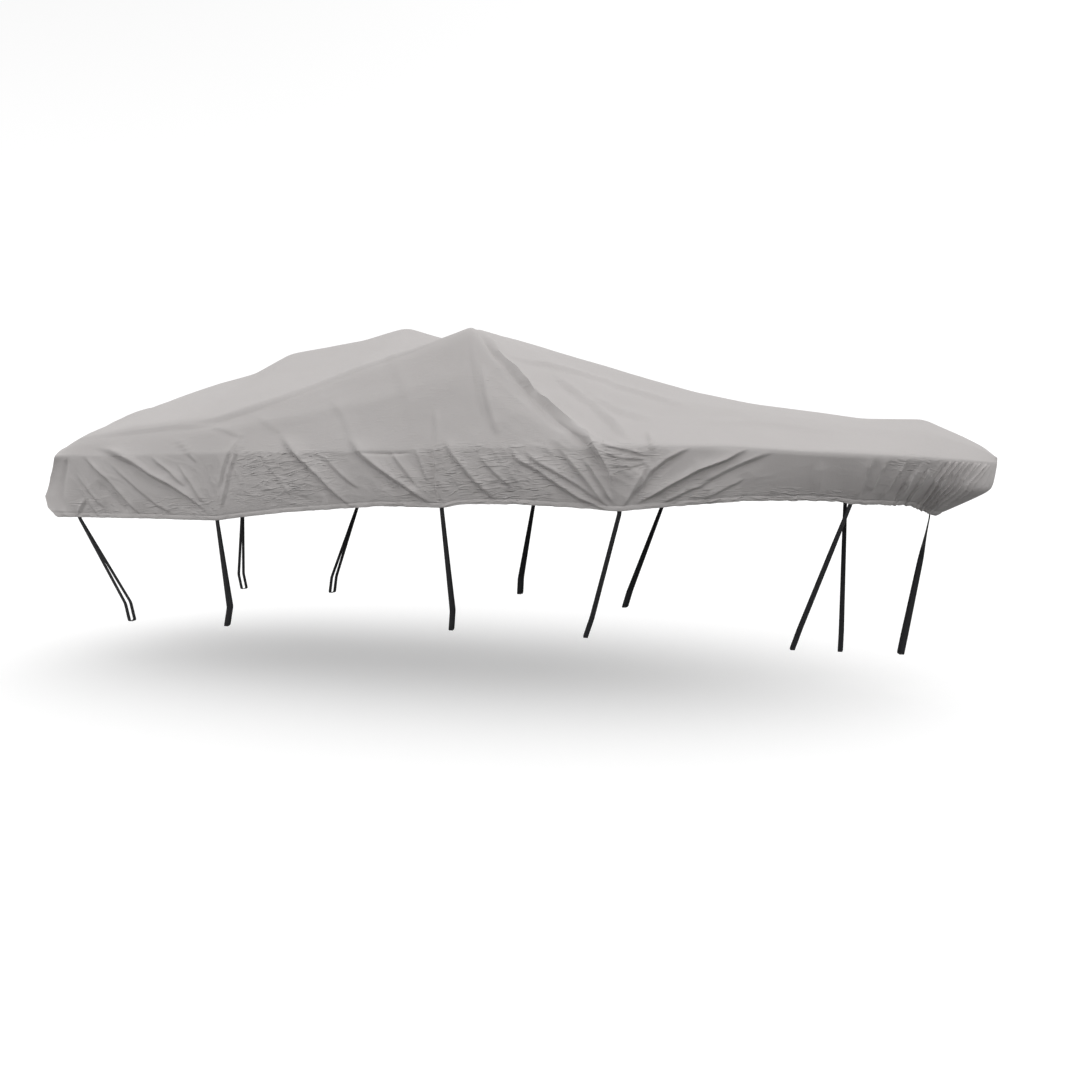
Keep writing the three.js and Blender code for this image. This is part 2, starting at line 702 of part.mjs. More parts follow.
// Straight runs joined by short curves.
function roundedPath(corners, radius) {
  const points = [corners[0]];
  for (let i = 1; i < corners.length - 1; i += 1) {
    const start = curveEnd(corners[i], corners[i - 1], radius);
    const end = curveEnd(corners[i], corners[i + 1], radius);
    const last = points[points.length - 1];
    if (start.distanceTo(last) > LONG_RUN) points.push(...midway(last, start));
    const bend = new THREE.QuadraticBezierCurve3(start, corners[i], end);
    points.push(...bend.getPoints(CORNER_SAMPLES));
  }
  points.push(corners[corners.length - 1]);
  return points;
}

// At its two ends the webbing lies along the hem, and further down it turns to face the rail.
function webbing(points, hemway) {
  const sheet = new Sheet();
  const [start, end] = [points[0], points[points.length - 1]];
  const rows = points.map((point, i) => {
    const before = points[Math.max(i - 1, 0)];
    const after = points[Math.min(i + 1, points.length - 1)];
    const along = after.clone().sub(before).normalize();
    const fromEnd = Math.min(point.distanceTo(start), point.distanceTo(end));
    const turned = THREE.MathUtils.smoothstep(fromEnd, STRAP_DROP * 2, TURN_LENGTH);
    const across = hemway.clone().lerp(new THREE.Vector3(1, 0, 0), turned);
    across.addScaledVector(along, -along.dot(across)).normalize();
    const face = along.clone().cross(across).normalize();
    return [-0.5, 0.5].map((share) => {
      const edge = point.clone().addScaledVector(across, share * WEBBING_WIDTH);
      return sheet.add(edge.addScaledVector(face, WEBBING / 2), face, WEBBING);
    });
  });
  sheet.grid(rows);
  return sheet.geometry();
}

// The seam stands on the hem's inner face, clear of the folds beside it.
function strapFromHem(row) {
  const { side, station } = row;
  const seam = skirtPoint(station, STRAP_TOP_ROW, side);
  const down = skirtPoint(station, 1, side).sub(skirtPoint(station, HEM_ROW, side)).normalize();
  const outward = skirtNormal(station, STRAP_TOP_ROW, side);
  outward.addScaledVector(down, -outward.dot(down)).normalize();
  let depth = 0;
  for (const x of stationList().filter((at) => Math.abs(at - station) < STRAP_REACH)) {
    for (const at of SKIRT_ROWS.slice(-3)) {
      const inner = skirtPoint(x, at, side).addScaledVector(skirtEdgeNormal(x, at, side), -HEM_CLOTH);
      depth = Math.max(depth, seam.clone().sub(inner).dot(outward));
    }
  }
  const top = seam.clone().addScaledVector(outward, -(depth + STRAP_CLEARANCE + WEBBING / 2));
  const inward = outward.clone().negate();
  const hemway = down.clone().cross(outward).normalize();
  if (hemway.x < 0) hemway.negate();
  return strapGeometry({ ...row, top, down, inward, hemway });
}

// At the stem the webbing is sewn across the fold inside the hem's tip.
function stemStrap() {
  const { top, foot, width, depth, part } = STEM_STRAP;
  const down = new THREE.Vector3(0, 0, -1);
  const inward = new THREE.Vector3(-1, 0, 0);
  const hemway = new THREE.Vector3(0, -1, 0);
  const from = new THREE.Vector3(...top);
  return strapGeometry({ top: from, down, inward, hemway, foot, width, depth, part, side: -1 });
}

// ---------- assembly ----------

function node(name, geometry, material) {
  const mesh = new THREE.Mesh(geometry, material);
  mesh.name = name;
  return mesh;
}

const cover = new THREE.Group();
cover.add(node('deck_panel', deckPanel(), clothMaterial));
cover.add(node('side_skirt_starboard', sideSkirt(-1), clothMaterial));
cover.add(node('side_skirt_port', sideSkirt(1), clothMaterial));
cover.add(node('transom_skirt', transomSkirt(), clothMaterial));
for (const row of STRAPS) cover.add(node(row.name, strapFromHem(row), webbingMaterial));
cover.add(node('strap_stem', stemStrap(), webbingMaterial));

export default cover;
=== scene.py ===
import math

import bpy
import numpy as np
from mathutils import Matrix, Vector


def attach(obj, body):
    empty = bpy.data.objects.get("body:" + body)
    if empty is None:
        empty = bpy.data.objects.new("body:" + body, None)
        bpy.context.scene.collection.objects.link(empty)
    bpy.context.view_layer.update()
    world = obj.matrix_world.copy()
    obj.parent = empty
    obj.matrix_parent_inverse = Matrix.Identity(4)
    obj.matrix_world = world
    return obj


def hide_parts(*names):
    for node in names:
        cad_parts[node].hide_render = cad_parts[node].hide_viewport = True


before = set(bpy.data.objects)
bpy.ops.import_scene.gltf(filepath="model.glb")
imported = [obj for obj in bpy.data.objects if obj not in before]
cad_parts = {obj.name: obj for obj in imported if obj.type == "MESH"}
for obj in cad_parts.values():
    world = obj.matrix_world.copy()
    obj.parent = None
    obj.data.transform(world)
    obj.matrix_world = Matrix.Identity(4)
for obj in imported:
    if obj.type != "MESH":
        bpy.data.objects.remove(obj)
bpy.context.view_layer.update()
scene = bpy.context.scene
scene.view_settings.view_transform = "Standard"

# ---------- camera ----------
# Stands a little ahead of the middle, off the starboard side, at the height of the rails.

LOOKS_DOWN, LOOKS_LEFT = 6.224, 15.027

camera_data = bpy.data.cameras.new("camera")
camera_data.sensor_width = 36
camera_data.lens = 32.72
camera_data.clip_end = 4000
camera = bpy.data.objects.new("camera", camera_data)
camera.location = (2.5998, -6.2523, -0.6897)
camera.rotation_euler = (math.radians(90 - LOOKS_DOWN), 0, math.radians(LOOKS_LEFT))
scene.collection.objects.link(camera)
scene.camera = camera

# ---------- deck panel ----------
# The large top panel of coated polyester. It is tented over the support pole and the
# windscreen, runs down to the rails, and lies almost flat on the foredeck. It is cut and
# joined so that no seam shows but the one along the rails.

STERN, TIP, HEM_TIP = -2.025, 3.69, 3.365
BEAM, STERN_BEAM, TAPER_START = 1.05, 0.99, 0.9
HEM_BEAM, HEM_STERN_BEAM, HEM_TAPER_START = 1.015, 0.96, 0.7
FULLNESS, HEM_FULLNESS, BLUNTNESS = 2.2, 2.4, 1.35
CHEEK, SHOULDER, QUARTER = 0.2, 0.4, 0.7
CHEEK_IN, CHEEK_UP = 0.42, 0.55
STEP = 0.004
SHEET_THICKNESS = 0.0016
SEAM_GAP = 0.0003

# Sections across the boat, in millimetres: station, height of the rail seam, how far the
# shoulder stands in from the rail, height of the shoulder, how much the cloth is crowned,
# height of the middle.
SECTIONS = np.array([
    [-2025, -828, 85, -782, 25, -668],
    [-1950, -824, 85, -738, 30, -580],
    [-1860, -822, 80, -700, 30, -480],
    [-1700, -826, 85, -675, 20, -396],
    [-1430, -823, 95, -625, 10, -317],
    [-1128, -812, 110, -598, 0, -244],
    [-860, -805, 118, -570, -10, -112],
    [-300, -792, 190, -415, -20, -32],
    [0, -785, 235, -305, -30, 36],
    [320, -777, 275, -196, -20, -65],
    [720, -764, 305, -50, 0, -62],
    [1122, -760, 138, -470, 60, -173],
    [1350, -759, 55, -640, 75, -241],
    [1500, -759, 22, -735, 80, -288],
    [1640, -759, 30, -728, 80, -331],
    [1950, -758, 30, -730, 70, -424],
    [2250, -760, 28, -734, 60, -486],
    [2540, -782, 28, -756, 50, -529],
    [2930, -804, 28, -778, 40, -588],
    [3280, -826, 26, -801, 20, -590],
    [3500, -842, 24, -818, 20, -696],
    [3640, -855, 20, -834, 10, -774],
    [3690, -862, 10, -846, 0, -836],
]) / 1000
SOFTENING = ((-1, 1), (-0.6, 2), (-0.3, 2), (0, 2), (0.3, 2), (0.6, 2), (1, 1))
SOFT_X, SOFT_RAIL_X, SOFT_ACROSS = 0.05, 0.1, 0.05


def softened(rows, column, x, reach):
    """A table's column at x, with its corners rounded over a reach to each side."""
    parts = [weight * np.interp(x + at * reach, rows[:, 0], rows[:, column])
             for at, weight in SOFTENING]
    return sum(parts) / sum(weight for at, weight in SOFTENING)


def half_width(x, full, stern, taper_start, tip, fullness):
    """Half of the beam at x: a little narrower at the stern, and rounded in to the tip."""
    aft = full - (full - stern) * np.clip(x / STERN, 0, 1) ** 2
    along = np.clip((x - taper_start) / (tip - taper_start), 0, 1)
    return np.where(x < taper_start, aft, full * (1 - along ** fullness) ** (1 / BLUNTNESS))


def section_corners(x):
    """The five corners of a half section, from the rail to the middle: widths and heights."""
    beam = half_width(x, BEAM, STERN_BEAM, TAPER_START, TIP, FULLNESS)
    rail = softened(SECTIONS, 1, x, SOFT_RAIL_X)
    inset = np.minimum(softened(SECTIONS, 2, x, SOFT_X), beam / 2)
    shoulder, crown, middle = (softened(SECTIONS, column, x, SOFT_X) for column in (3, 4, 5))
    widths = [beam, beam - CHEEK_IN * inset, beam - inset, (beam - inset) / 2, 0 * beam]
    cheek = rail + CHEEK_UP * (shoulder - rail)
    heights = [rail, cheek, shoulder, (shoulder + middle) / 2 + crown, middle]
    return widths, heights


def corner_shares(row):
    """How much each of the five corners counts at a row from 0, the rail, to 1, the middle."""
    marks = [0, CHEEK, SHOULDER, QUARTER, 1]
    reach = np.minimum(SOFT_ACROSS, row)
    wide = np.zeros((5, *row.shape))
    high = np.zeros((5, *row.shape))
    for at, weight in SOFTENING:
        place = row + at * reach
        mirrored = np.where(place > 1, 2 - place, place)
        for corner in range(5):
            share = weight * np.interp(mirrored, marks, np.eye(5)[corner])
            wide[corner] += np.where(place > 1, -share, share)
            high[corner] += share
    total = sum(weight for at, weight in SOFTENING)
    return wide / total, high / total


def soft_section(x, row):
    """Width and height of the section at x, at a row from 0, the rail, to 1, the middle."""
    x, row = np.broadcast_arrays(np.asarray(x, float), np.asarray(row, float))
    widths, heights = section_corners(x)
    wide, high = corner_shares(row)
    y = sum(width * share for width, share in zip(widths, wide))
    z = sum(height * share for height, share in zip(heights, high))
    return y, z


# The underside of the cloth on the support pole is the origin.
CAD_CLOTH = 0.003
LIFT = CAD_CLOTH - float(soft_section(0.0, 1.0)[1])


def plain_deck(x, across):
    """The panel without folds. across runs from -1, the starboard rail, to 1, the port one."""
    x, across = np.broadcast_arrays(np.asarray(x, float), np.asarray(across, float))
    past = x > TIP
    station = np.where(past, 2 * TIP - x, x)
    y, z = soft_section(station, 1 - np.abs(across))
    side = np.where(across < 0, -1, 1) * np.where(past, -1, 1)
    return np.stack([station, side * y, z + LIFT], -1)


def unit(vectors):
    return vectors / np.maximum(np.linalg.norm(vectors, axis=-1, keepdims=True), 1e-12)


def grid_normals(points):
    """Directions square to a grid of points, on the side of (along rows) x (along columns)."""
    return unit(np.cross(np.gradient(points, axis=0), np.gradient(points, axis=1)))


def run_along(points):
    """Distance along a line of points, from 0 at the first."""
    lengths = np.linalg.norm(np.diff(points, axis=0), axis=1)
    return np.concatenate([[0], np.cumsum(lengths)])


def smooth(value, low, high):
    """From 0 to 1 as a value goes from low to high, without corners."""
    share = np.clip((value - low) / (high - low), 0, 1)
    return share * share * (3 - 2 * share)


# How far apart stations stand, as a share of the step: closest round the stem and where the
# cloth is folded, widest where it is smooth.
DECK_SPACING = (
    (-2.03, 1.5), (-0.95, 1.4), (-0.85, 0.9), (0.4, 0.9), (0.6, 0.58), (1.8, 0.58),
    (2.00, 1.8), (3.00, 1.8), (3.2, 0.9), (3.69, 0.7))
FINE_STATIONS, TIP_CROWDING, TIP_SPARE = 6000, 1.6, 0.0004


def rail_stations(step, spacing):
    """Stations along the curved rail, from the stern to just short of the tip."""
    fine = TIP - (TIP - STERN) * np.linspace(1, 0, FINE_STATIONS) ** TIP_CROWDING
    fine[-1] = TIP - TIP_SPARE
    rail = plain_deck(fine, -1.0)
    length = np.linalg.norm(np.diff(rail, axis=0), axis=1)
    wide = np.interp(fine[1:], *zip(*spacing))
    run = np.concatenate([[0], np.cumsum(length / wide)])
    return np.interp(np.linspace(0, run[-1], int(run[-1] / step)), run, fine)


SIDE_BELLY, STEM_KNEE, STEM_KNEE_START, STEM_KNEE_POWER = 0.01, 0.115, 2.6, 4.5
# The knee is a rounded tent from rail to hem: where its sides end, its rounding, its height.
KNEE_ENDS, KNEE_ROUNDING, KNEE_HEIGHT = 1.01, 0.0201, 0.868
RAKE_START, RAKE_POWER = 2.2, 2.2
CORNER_LENGTH, CORNER_TURN, CORNER_TURN_SPAN, TRANSOM_HEM = 0.16, 0.055, 1.1, -2.03
CORNER_SWELL = ((0, 0.35, 0.67, 0.85, 1), (0, 0.08, 0.12, 0.085, 0))
SOFT_HEM_X = 0.04
HEMLINE = np.array([
    [-2.025, -1.216], [-1.37, -1.21], [-0.84, -1.208], [-0.72, -1.19], [-0.39, -1.15],
    [0.25, -1.098], [0.62, -1.102], [0.73, -1.08], [1.05, -1.074], [1.33, -1.086],
    [1.62, -1.106], [1.89, -1.08], [2.27, -1.048], [2.74, -1.053], [2.9, -1.078],
    [3.05, -1.086], [3.18, -1.093], [3.25, -1.12], [3.365, -1.172],
])


def hem_point(station, side):
    """The hem below a station of the rail. At the bow the stem's rake draws it aft."""
    rake = np.clip((station - RAKE_START) / (TIP - RAKE_START), 0, 1)
    x = station - (TIP - HEM_TIP) * rake ** RAKE_POWER
    beam = half_width(x, HEM_BEAM, HEM_STERN_BEAM, HEM_TAPER_START, HEM_TIP, HEM_FULLNESS)
    return np.stack([x, side * beam, softened(HEMLINE, 1, x, SOFT_HEM_X) + LIFT], -1)


def plain_skirt(x, down, side):
    """A skirt without folds. down runs from 0, the rail seam, to 1, the hem."""
    x, down = np.broadcast_arrays(np.asarray(x, float), np.asarray(down, float))
    past = x > TIP
    station = np.where(past, 2 * TIP - x, x)
    rail = plain_deck(x, float(side))
    hem = hem_point(station, np.where(past, -side, side))
    along = plain_deck(x + STEP, float(side)) - plain_deck(x - STEP, float(side))
    along = unit(along * (1, 1, 0))
    outward = side * np.stack([-along[..., 1], along[..., 0], 0 * along[..., 0]], -1)
    to_stem = np.clip((station - STEM_KNEE_START) / (TIP - STEM_KNEE_START), 0, 1)
    tent = (KNEE_ENDS - np.sqrt((2 * down - 1) ** 2 + KNEE_ROUNDING)) / KNEE_HEIGHT
    belly = SIDE_BELLY * np.sin(np.pi * down) + STEM_KNEE * to_stem ** STEM_KNEE_POWER * tent
    near_stern = 1 - smooth(station, STERN, STERN + CORNER_LENGTH)
    aft = near_stern * (np.interp(down, *CORNER_SWELL) + (STERN - TRANSOM_HEM) * down)
    turn = near_stern * CORNER_TURN * np.sin(np.pi * np.minimum(down * CORNER_TURN_SPAN, 1))
    points = rail + (hem - rail) * down[..., None] + outward * belly[..., None]
    return points - np.stack([aft, side * turn, 0 * aft], -1)


# The rail seam is a crisp edge beside the cockpit and a rounder one over the foredeck.
ROUNDING = np.array([
    [-2.025, 0.02], [-1.85, 0.008], [0.9, 0.009], [1.6, 0.016], [2.0, 0.018], [3.0, 0.02],
    [3.69, 0.014],
])
ROUNDING_SHARE, ROUNDING_LEAST = 0.4, 0.001
JUST_ABOVE, JUST_BELOW = 0.96, 0.06


def rail_rounding(x):
    """How far to each side of the rail seam the cloth is rounded."""
    beam = half_width(x, BEAM, STERN_BEAM, TAPER_START, TIP, FULLNESS)
    return np.minimum(softened(ROUNDING, 1, x, SOFT_X), ROUNDING_SHARE * beam + ROUNDING_LEAST)


def rail_directions(x, side):
    """From the rail seam, the directions up the deck panel and down the skirt."""
    rail = plain_deck(x, side)
    up = unit(plain_deck(x, side * JUST_ABOVE) - rail)
    down = unit(plain_skirt(x, JUST_BELOW, side) - rail)
    return up, down


def deck_girth(x, row):
    """Distance round the section from the rail seam up to a row."""
    widths, heights = section_corners(x)
    cheek = np.hypot(widths[0] - widths[2], heights[0] - heights[2])
    top = np.hypot(widths[2], heights[2] - heights[4])
    low = cheek * row / SHOULDER
    return np.where(row < SHOULDER, low, cheek + top * (row - SHOULDER) / (1 - SHOULDER))


# Folds. Each row is a path of (station, girth) points in centimetres, then the fold's
# half-width and its rise in millimetres; a trough has a negative rise. Girth is measured from
# the rail seam, up the deck panel or, where it is negative, down the skirt.
CREASE = [(76, 82), (87, 63), (95, 54), (104, 43), (113, 35), (121, 27), (131, 18), (143, 8),
          (149, 2), (154, -5), (158, -13), (161, -30)]
FOLD_ROWS = [
    # the crease from the windscreen's corner down to the forward strap
    (CREASE, 32, 17),
    # fan to the forward strap
    ([(101, 3), (108, -6), (119, -12), (129, -19), (141, -27), (158, -35)], 36, 24),
    ([(129, 2), (138, -8), (146, -18), (157, -33)], 34, 21),
    ([(232, 1), (218, -6), (205, -11), (189, -20), (170, -32)], 36, 30),
    ([(202, 1), (189, -5), (180, -12), (169, -28)], 31, 23),
    # fan to the middle strap
    ([(2, 12), (8, 5), (14, -1), (23, -8), (37, -17), (47, -24), (58, -33)], 50, 33),
    ([(-42, 13), (-33, 4), (-24, -4), (-15, -12), (-8, -19), (-1, -26), (8, -34)], 40, 29),
    ([(63, 7), (70, -3), (81, -16), (96, -31)], 36, 21),
    # fan to the aft strap
    ([(-170, 7), (-153, 2), (-140, -3), (-127, -11), (-114, -17), (-101, -25), (-88, -37)], 54, 38),
    ([(-64, 14), (-69, 6), (-74, -1), (-78, -11), (-82, -24)], 24, 10),
    # stern quarter
    ([(-180, 1), (-169, -7), (-160, -14), (-148, -27), (-138, -38.5)], 39, 26),
    # soft upright folds at the bow quarter
    ([(296, 2), (294, -12), (295, -28)], 34, 16),
    ([(315, 1), (312, -13), (312, -29)], 31, 16),
    # finer folds of the forward fan
    ([(110, 0), (118, -7), (126, -11), (141, -20), (158, -33)], 28, 18),
    ([(142, -3), (149, -12), (155, -22), (161, -33)], 25, 16),
    ([(149, 4), (159, 1), (172, -2), (180, -5)], 19, 10),
    ([(153, -2), (164, -5), (179, -6)], 16, 7),
    ([(157, -9), (169, -10), (178, -8)], 15, 6),
    ([(178, -9), (173, -18), (165, -33)], 28, 18),
    ([(244, 0), (232, -5), (218, -12), (204, -20)], 39, 17),
    ([(212, -18), (199, -23), (184, -31)], 28, 14),
    ([(230, -16), (220, -21), (208, -28)], 28, 10),
    ([(80, 52), (87, 29), (97, 4)], 45, 16),
    # beside the long crease, over the windscreen and on the near foredeck
    ([(114, 67), (129, 52), (143, 40), (156, 25), (170, 4)], 48, 16),
    ([(133, 55), (146, 44), (160, 35), (180, 27)], 39, 11),
    ([(100, 40), (120, 21), (136, 7)], 36, -11),
    ([(176, 17), (179, 6), (182, -3)], 28, 11),
    ([(85, 62), (109, 77), (143, 76), (178, 57), (200, 45)], 60, 14),
    ([(72, 70), (76, 55), (82, 33), (88, 14)], 39, 8),
    ([(56, 24), (59, 12), (61, -2)], 31, 10),
    # finer folds of the middle fan
    ([(58, 6), (59, -4), (60, -19), (61, -33)], 22, 14),
    ([(46, 3), (50, -6), (55, -20)], 22, 13),
    ([(30, 2), (40, -10), (50, -22)], 25, 13),
    ([(12, -1.2), (32, -2.2), (46, -1.8)], 9, -8),
    ([(-12, 33), (0, 20), (8, 6)], 36, 6),
    ([(84, -3), (93, -12), (105, -23)], 31, 14),
    ([(-54, 4), (-46, -7), (-39, -16), (-30, -29)], 28, 7),
    ([(-10, -2), (0, -12), (12, -22)], 28, 14),
    ([(-62, 26), (-50, 18), (-38, 11)], 36, 4),
    # finer folds of the aft fan and the stern quarter
    ([(-62, 10), (-68, 1), (-73, -10), (-77, -23), (-82, -36)], 21, 10),
    ([(-113, 11), (-103, 3), (-93, -6)], 24, 8),
    ([(-128, 0), (-113, -10), (-102, -20)], 28, 17),
    ([(-110, -4), (-100, -16), (-90, -32)], 22, 11),
    ([(-160, -3), (-146, -14), (-126, -30), (-112, -38)], 31, 13),
    ([(-180, -26), (-185, -33), (-189, -39)], 18, 11),
    ([(-179, -26), (-176, -32), (-171, -39)], 18, 12),
    ([(-172, -14), (-158, -28), (-147, -38)], 34, -17),
    ([(-186, -10), (-178, -20), (-166, -33)], 28, 13),
    ([(-192, 0), (-194, -17), (-194.5, -40)], 13, -14),
    ([(-90, 18), (-76, 14), (-63, 9)], 28, 5),
    # the shoulder from the pole to the stern, and low swells of the top
    ([(-110, 20), (-85, 25), (-63, 32), (-43, 40), (-20, 49), (12, 61), (42, 70), (66, 78)], 75, 9),
    ([(-172, 14), (-148, 17), (-116, 20), (-84, 19)], 56, 5),
    ([(-120, 12), (-50, 20), (20, 30), (62, 42)], 100, 3),
    ([(2, 95), (24, 60), (40, 28), (46, 6)], 80, 4),
    ([(-186, 34), (-180, 60), (-182, 90)], 70, 10),
    ([(195, 30), (240, 34), (285, 26)], 80, 5),
    # finer upright folds and the gathers that run to the stem strap
    ([(268, -3), (269, -16), (272, -28)], 48, 9),
    ([(305, 1), (302, -10), (302, -24)], 28, 13),
    ([(324, -1), (322, -15), (326, -31)], 25, 14),
    ([(321, -10), (322, -17), (323, -25), (327, -37)], 12, 13),
    ([(329, -5), (330, -17), (332, -26), (338, -40)], 11, 15),
    ([(335, 0), (334, -5), (333, -14)], 9, 7),
    ([(339, 1), (338, -10), (338, -15), (349, -44)], 10, 19),
    ([(343, 1), (341, -12), (342, -18), (354, -47)], 9, 17),
    ([(347, 1), (345, -9), (347, -23), (356, -46)], 9, 16),
    ([(350, 1), (348, -9), (351, -28), (358, -46)], 8, 12),
    ([(354, 1), (352, -13), (355, -32), (360, -47)], 9, 16),
    ([(358, 1), (355, -6), (353, -17)], 8, 10),
    ([(362, 1), (359, -5), (356, -17), (361, -43)], 9, 16),
    ([(364, 0), (361, -8), (359, -16), (362, -34)], 8, 14),
    ([(366, -1), (365, -9), (364, -22)], 8, 13),
    ([(368, -2), (367.5, -12), (367, -26)], 7, 10),
    # the lower part of the long crease, which is broader, and the hollow beside its start
    ([(90, 60), *CREASE[2:]], 38, 21),
    ([(66, 95), (74, 78), (85, 60), (96, 47)], 18, -12),
]
FOLDS = [([(x / 100, girth / 100) for x, girth in path], width / 1000, rise / 1000)
         for path, width, rise in FOLD_ROWS]
PORT_DRIFT, PORT_DRIFT_TURN, PORT_DRIFT_PHASE = 0.05, 1.7, 0.5
PORT_RISE, PORT_RISE_RANGE, PORT_RISE_TURN = 0.88, 0.14, 2.3


def port_fold(number, path, width, height):
    """To port each fold starts a little elsewhere, but runs to the same strap."""
    drift = PORT_DRIFT * math.sin(PORT_DRIFT_TURN * number + PORT_DRIFT_PHASE)
    last = len(path) - 1
    moved = [(x + drift * (1 - i / last), girth) for i, (x, girth) in enumerate(path)]
    return moved, width, height * (PORT_RISE + PORT_RISE_RANGE * math.cos(PORT_RISE_TURN * number))


PORT_FOLDS = [port_fold(number, *row) for number, row in enumerate(FOLDS)]

# The profile of a fold, in half-widths and shares of its rise: a sharp crest on a broad slope,
# the steep drop below the crest, and the hollow under that.
CREST_SHARE, CREST_REACH = 0.7, 0.48
SLOPE_SHARE, SLOPE_REACH = 0.3, 1.6
STEEP_REACH, STEEP_DROP, STEEP_POWER = 0.62, 1.36, 1.1
HOLLOW, HOLLOW_END = -0.36, 2.3
TROUGH_POWER = 1.3
# A fold fades in over a share of its length, but over no more than some half-widths, and
# starts to fade out at another share. At its ends it is narrower.
FADE_IN, FADE_IN_WIDTHS, FADE_OUT = 0.3, 4.5, 0.78
END_WIDTH, END_WIDENING = 0.45, 0.55


def ridge_profile(off):
    """A ridge of hanging cloth: a long slope above its crest, a short steep one below, and a
    slight hollow under that. off is in half-widths, and positive above the crest."""
    above, below = np.clip(off, 0, None), np.clip(-off, 0, None)
    crest = CREST_SHARE * np.exp(-above / CREST_REACH)
    slope = crest + SLOPE_SHARE * np.exp(-(above / SLOPE_REACH) ** 2)
    drop = 1 - STEEP_DROP * np.clip(below / STEEP_REACH, 0, 1) ** STEEP_POWER
    hollow = HOLLOW * (1 - smooth(below, STEEP_REACH, HOLLOW_END))
    return np.where(off > 0, slope, np.where(below < STEEP_REACH, drop, hollow))


def fold_rise(folds, x, girth):
    """Height of all the folds at a place on the cloth. Each fades in and out along its path."""
    rise = np.zeros(np.broadcast(x, girth).shape)
    for path, width, height in folds:
        points = np.array(path)
        lengths = np.linalg.norm(np.diff(points, axis=0), axis=1)
        above = 1 if points[-1, 0] >= points[0, 0] else -1
        nearest = np.full(rise.shape, np.inf)
        signed = np.zeros(rise.shape)
        place = np.zeros(rise.shape)
        start = 0.0
        for (ax, ag), (bx, bg), length in zip(points[:-1], points[1:], lengths):
            ahead = (x - ax) * (bx - ax) + (girth - ag) * (bg - ag)
            share = np.clip(ahead / length ** 2, 0, 1)
            away = np.hypot(x - ax - share * (bx - ax), girth - ag - share * (bg - ag))
            across_path = (girth - ag) * (bx - ax) - (x - ax) * (bg - ag)
            closer = away < nearest
            nearest = np.where(closer, away, nearest)
            signed = np.where(closer, away * above * np.sign(across_path), signed)
            place = np.where(closer, start + share * length, place)
            start += length
        fade_in = smooth(place, 0, min(FADE_IN * start, FADE_IN_WIDTHS * width))
        ends = fade_in * (1 - smooth(place, FADE_OUT * start, start))
        local = width * (END_WIDTH + END_WIDENING * ends)
        if height > 0:
            rise += height * ends * ridge_profile(signed / local)
        else:
            rise += height * ends * np.exp(-(nearest / local) ** TROUGH_POWER)
    return rise


NOISE_REPEAT = 64


def value_noise(u, v, seed):
    """Smooth seeded noise from 0 to 1, with one bump for each unit of u and v."""
    table = np.random.default_rng(seed).random((NOISE_REPEAT, NOISE_REPEAT))
    iu, iv = np.floor(u).astype(int), np.floor(v).astype(int)
    fu, fv = u - iu, v - iv
    fu, fv = fu ** 3 * (fu * (6 * fu - 15) + 10), fv ** 3 * (fv * (6 * fv - 15) + 10)
    iu, iv, next_u, next_v = (index % NOISE_REPEAT for index in (iu, iv, iu + 1, iv + 1))
    low = table[iu, iv] * (1 - fu) + table[next_u, iv] * fu
    high = table[iu, next_v] * (1 - fu) + table[next_u, next_v] * fu
    return low * (1 - fv) + high * fv


# Crumpled places: the middle (station, girth) and the reach each way in centimetres, the
# direction in which the creases run (degrees up from the stern-to-bow line), then the spacing
# of the creases and their rise in millimetres.
STARBOARD_CRUMPLES = [
    (102, -13, 36, 13, -52, 55, 11), (80, 6, 40, 8, -25, 60, 4), (162, -10, 22, 11, -48, 50, 10),
    (136, 2, 26, 5, -20, 45, 8), (-30, -22, 34, 10, -12, 45, 8), (-30, -3, 36, 5, -8, 45, 7),
    (-80, -18, 20, 14, -70, 45, 8), (-130, -12, 40, 12, -30, 60, 6),
    (-175, -22, 16, 16, -55, 60, 8), (35, -16, 28, 12, -48, 55, 9), (210, -16, 30, 12, 35, 60, 7),
    (110, 30, 24, 16, -42, 75, 6),
]
PORT_CRUMPLES = [
    (105, -12, 36, 13, -50, 55, 10), (162, -12, 24, 12, -46, 50, 9), (-25, -18, 40, 12, -14, 50, 8),
    (-120, -16, 50, 14, -32, 60, 7), (35, -16, 28, 12, -46, 55, 8), (210, -16, 34, 12, 34, 60, 7),
    (110, 30, 24, 16, -42, 75, 5),
]
LEAST_WINDOW, CRUMPLE_BEND, BEND_SCALE, CREASE_STRETCH = 0.01, 0.9, 0.3, 0.28
CREASE_SHARPNESS, CREASE_LEVEL, CREASE_SHIFT, CREASE_SEED = 1.5, 0.4, 7, 40
CREASE_OCTAVES = ((1.0, 1.0), (1.9, 0.45))


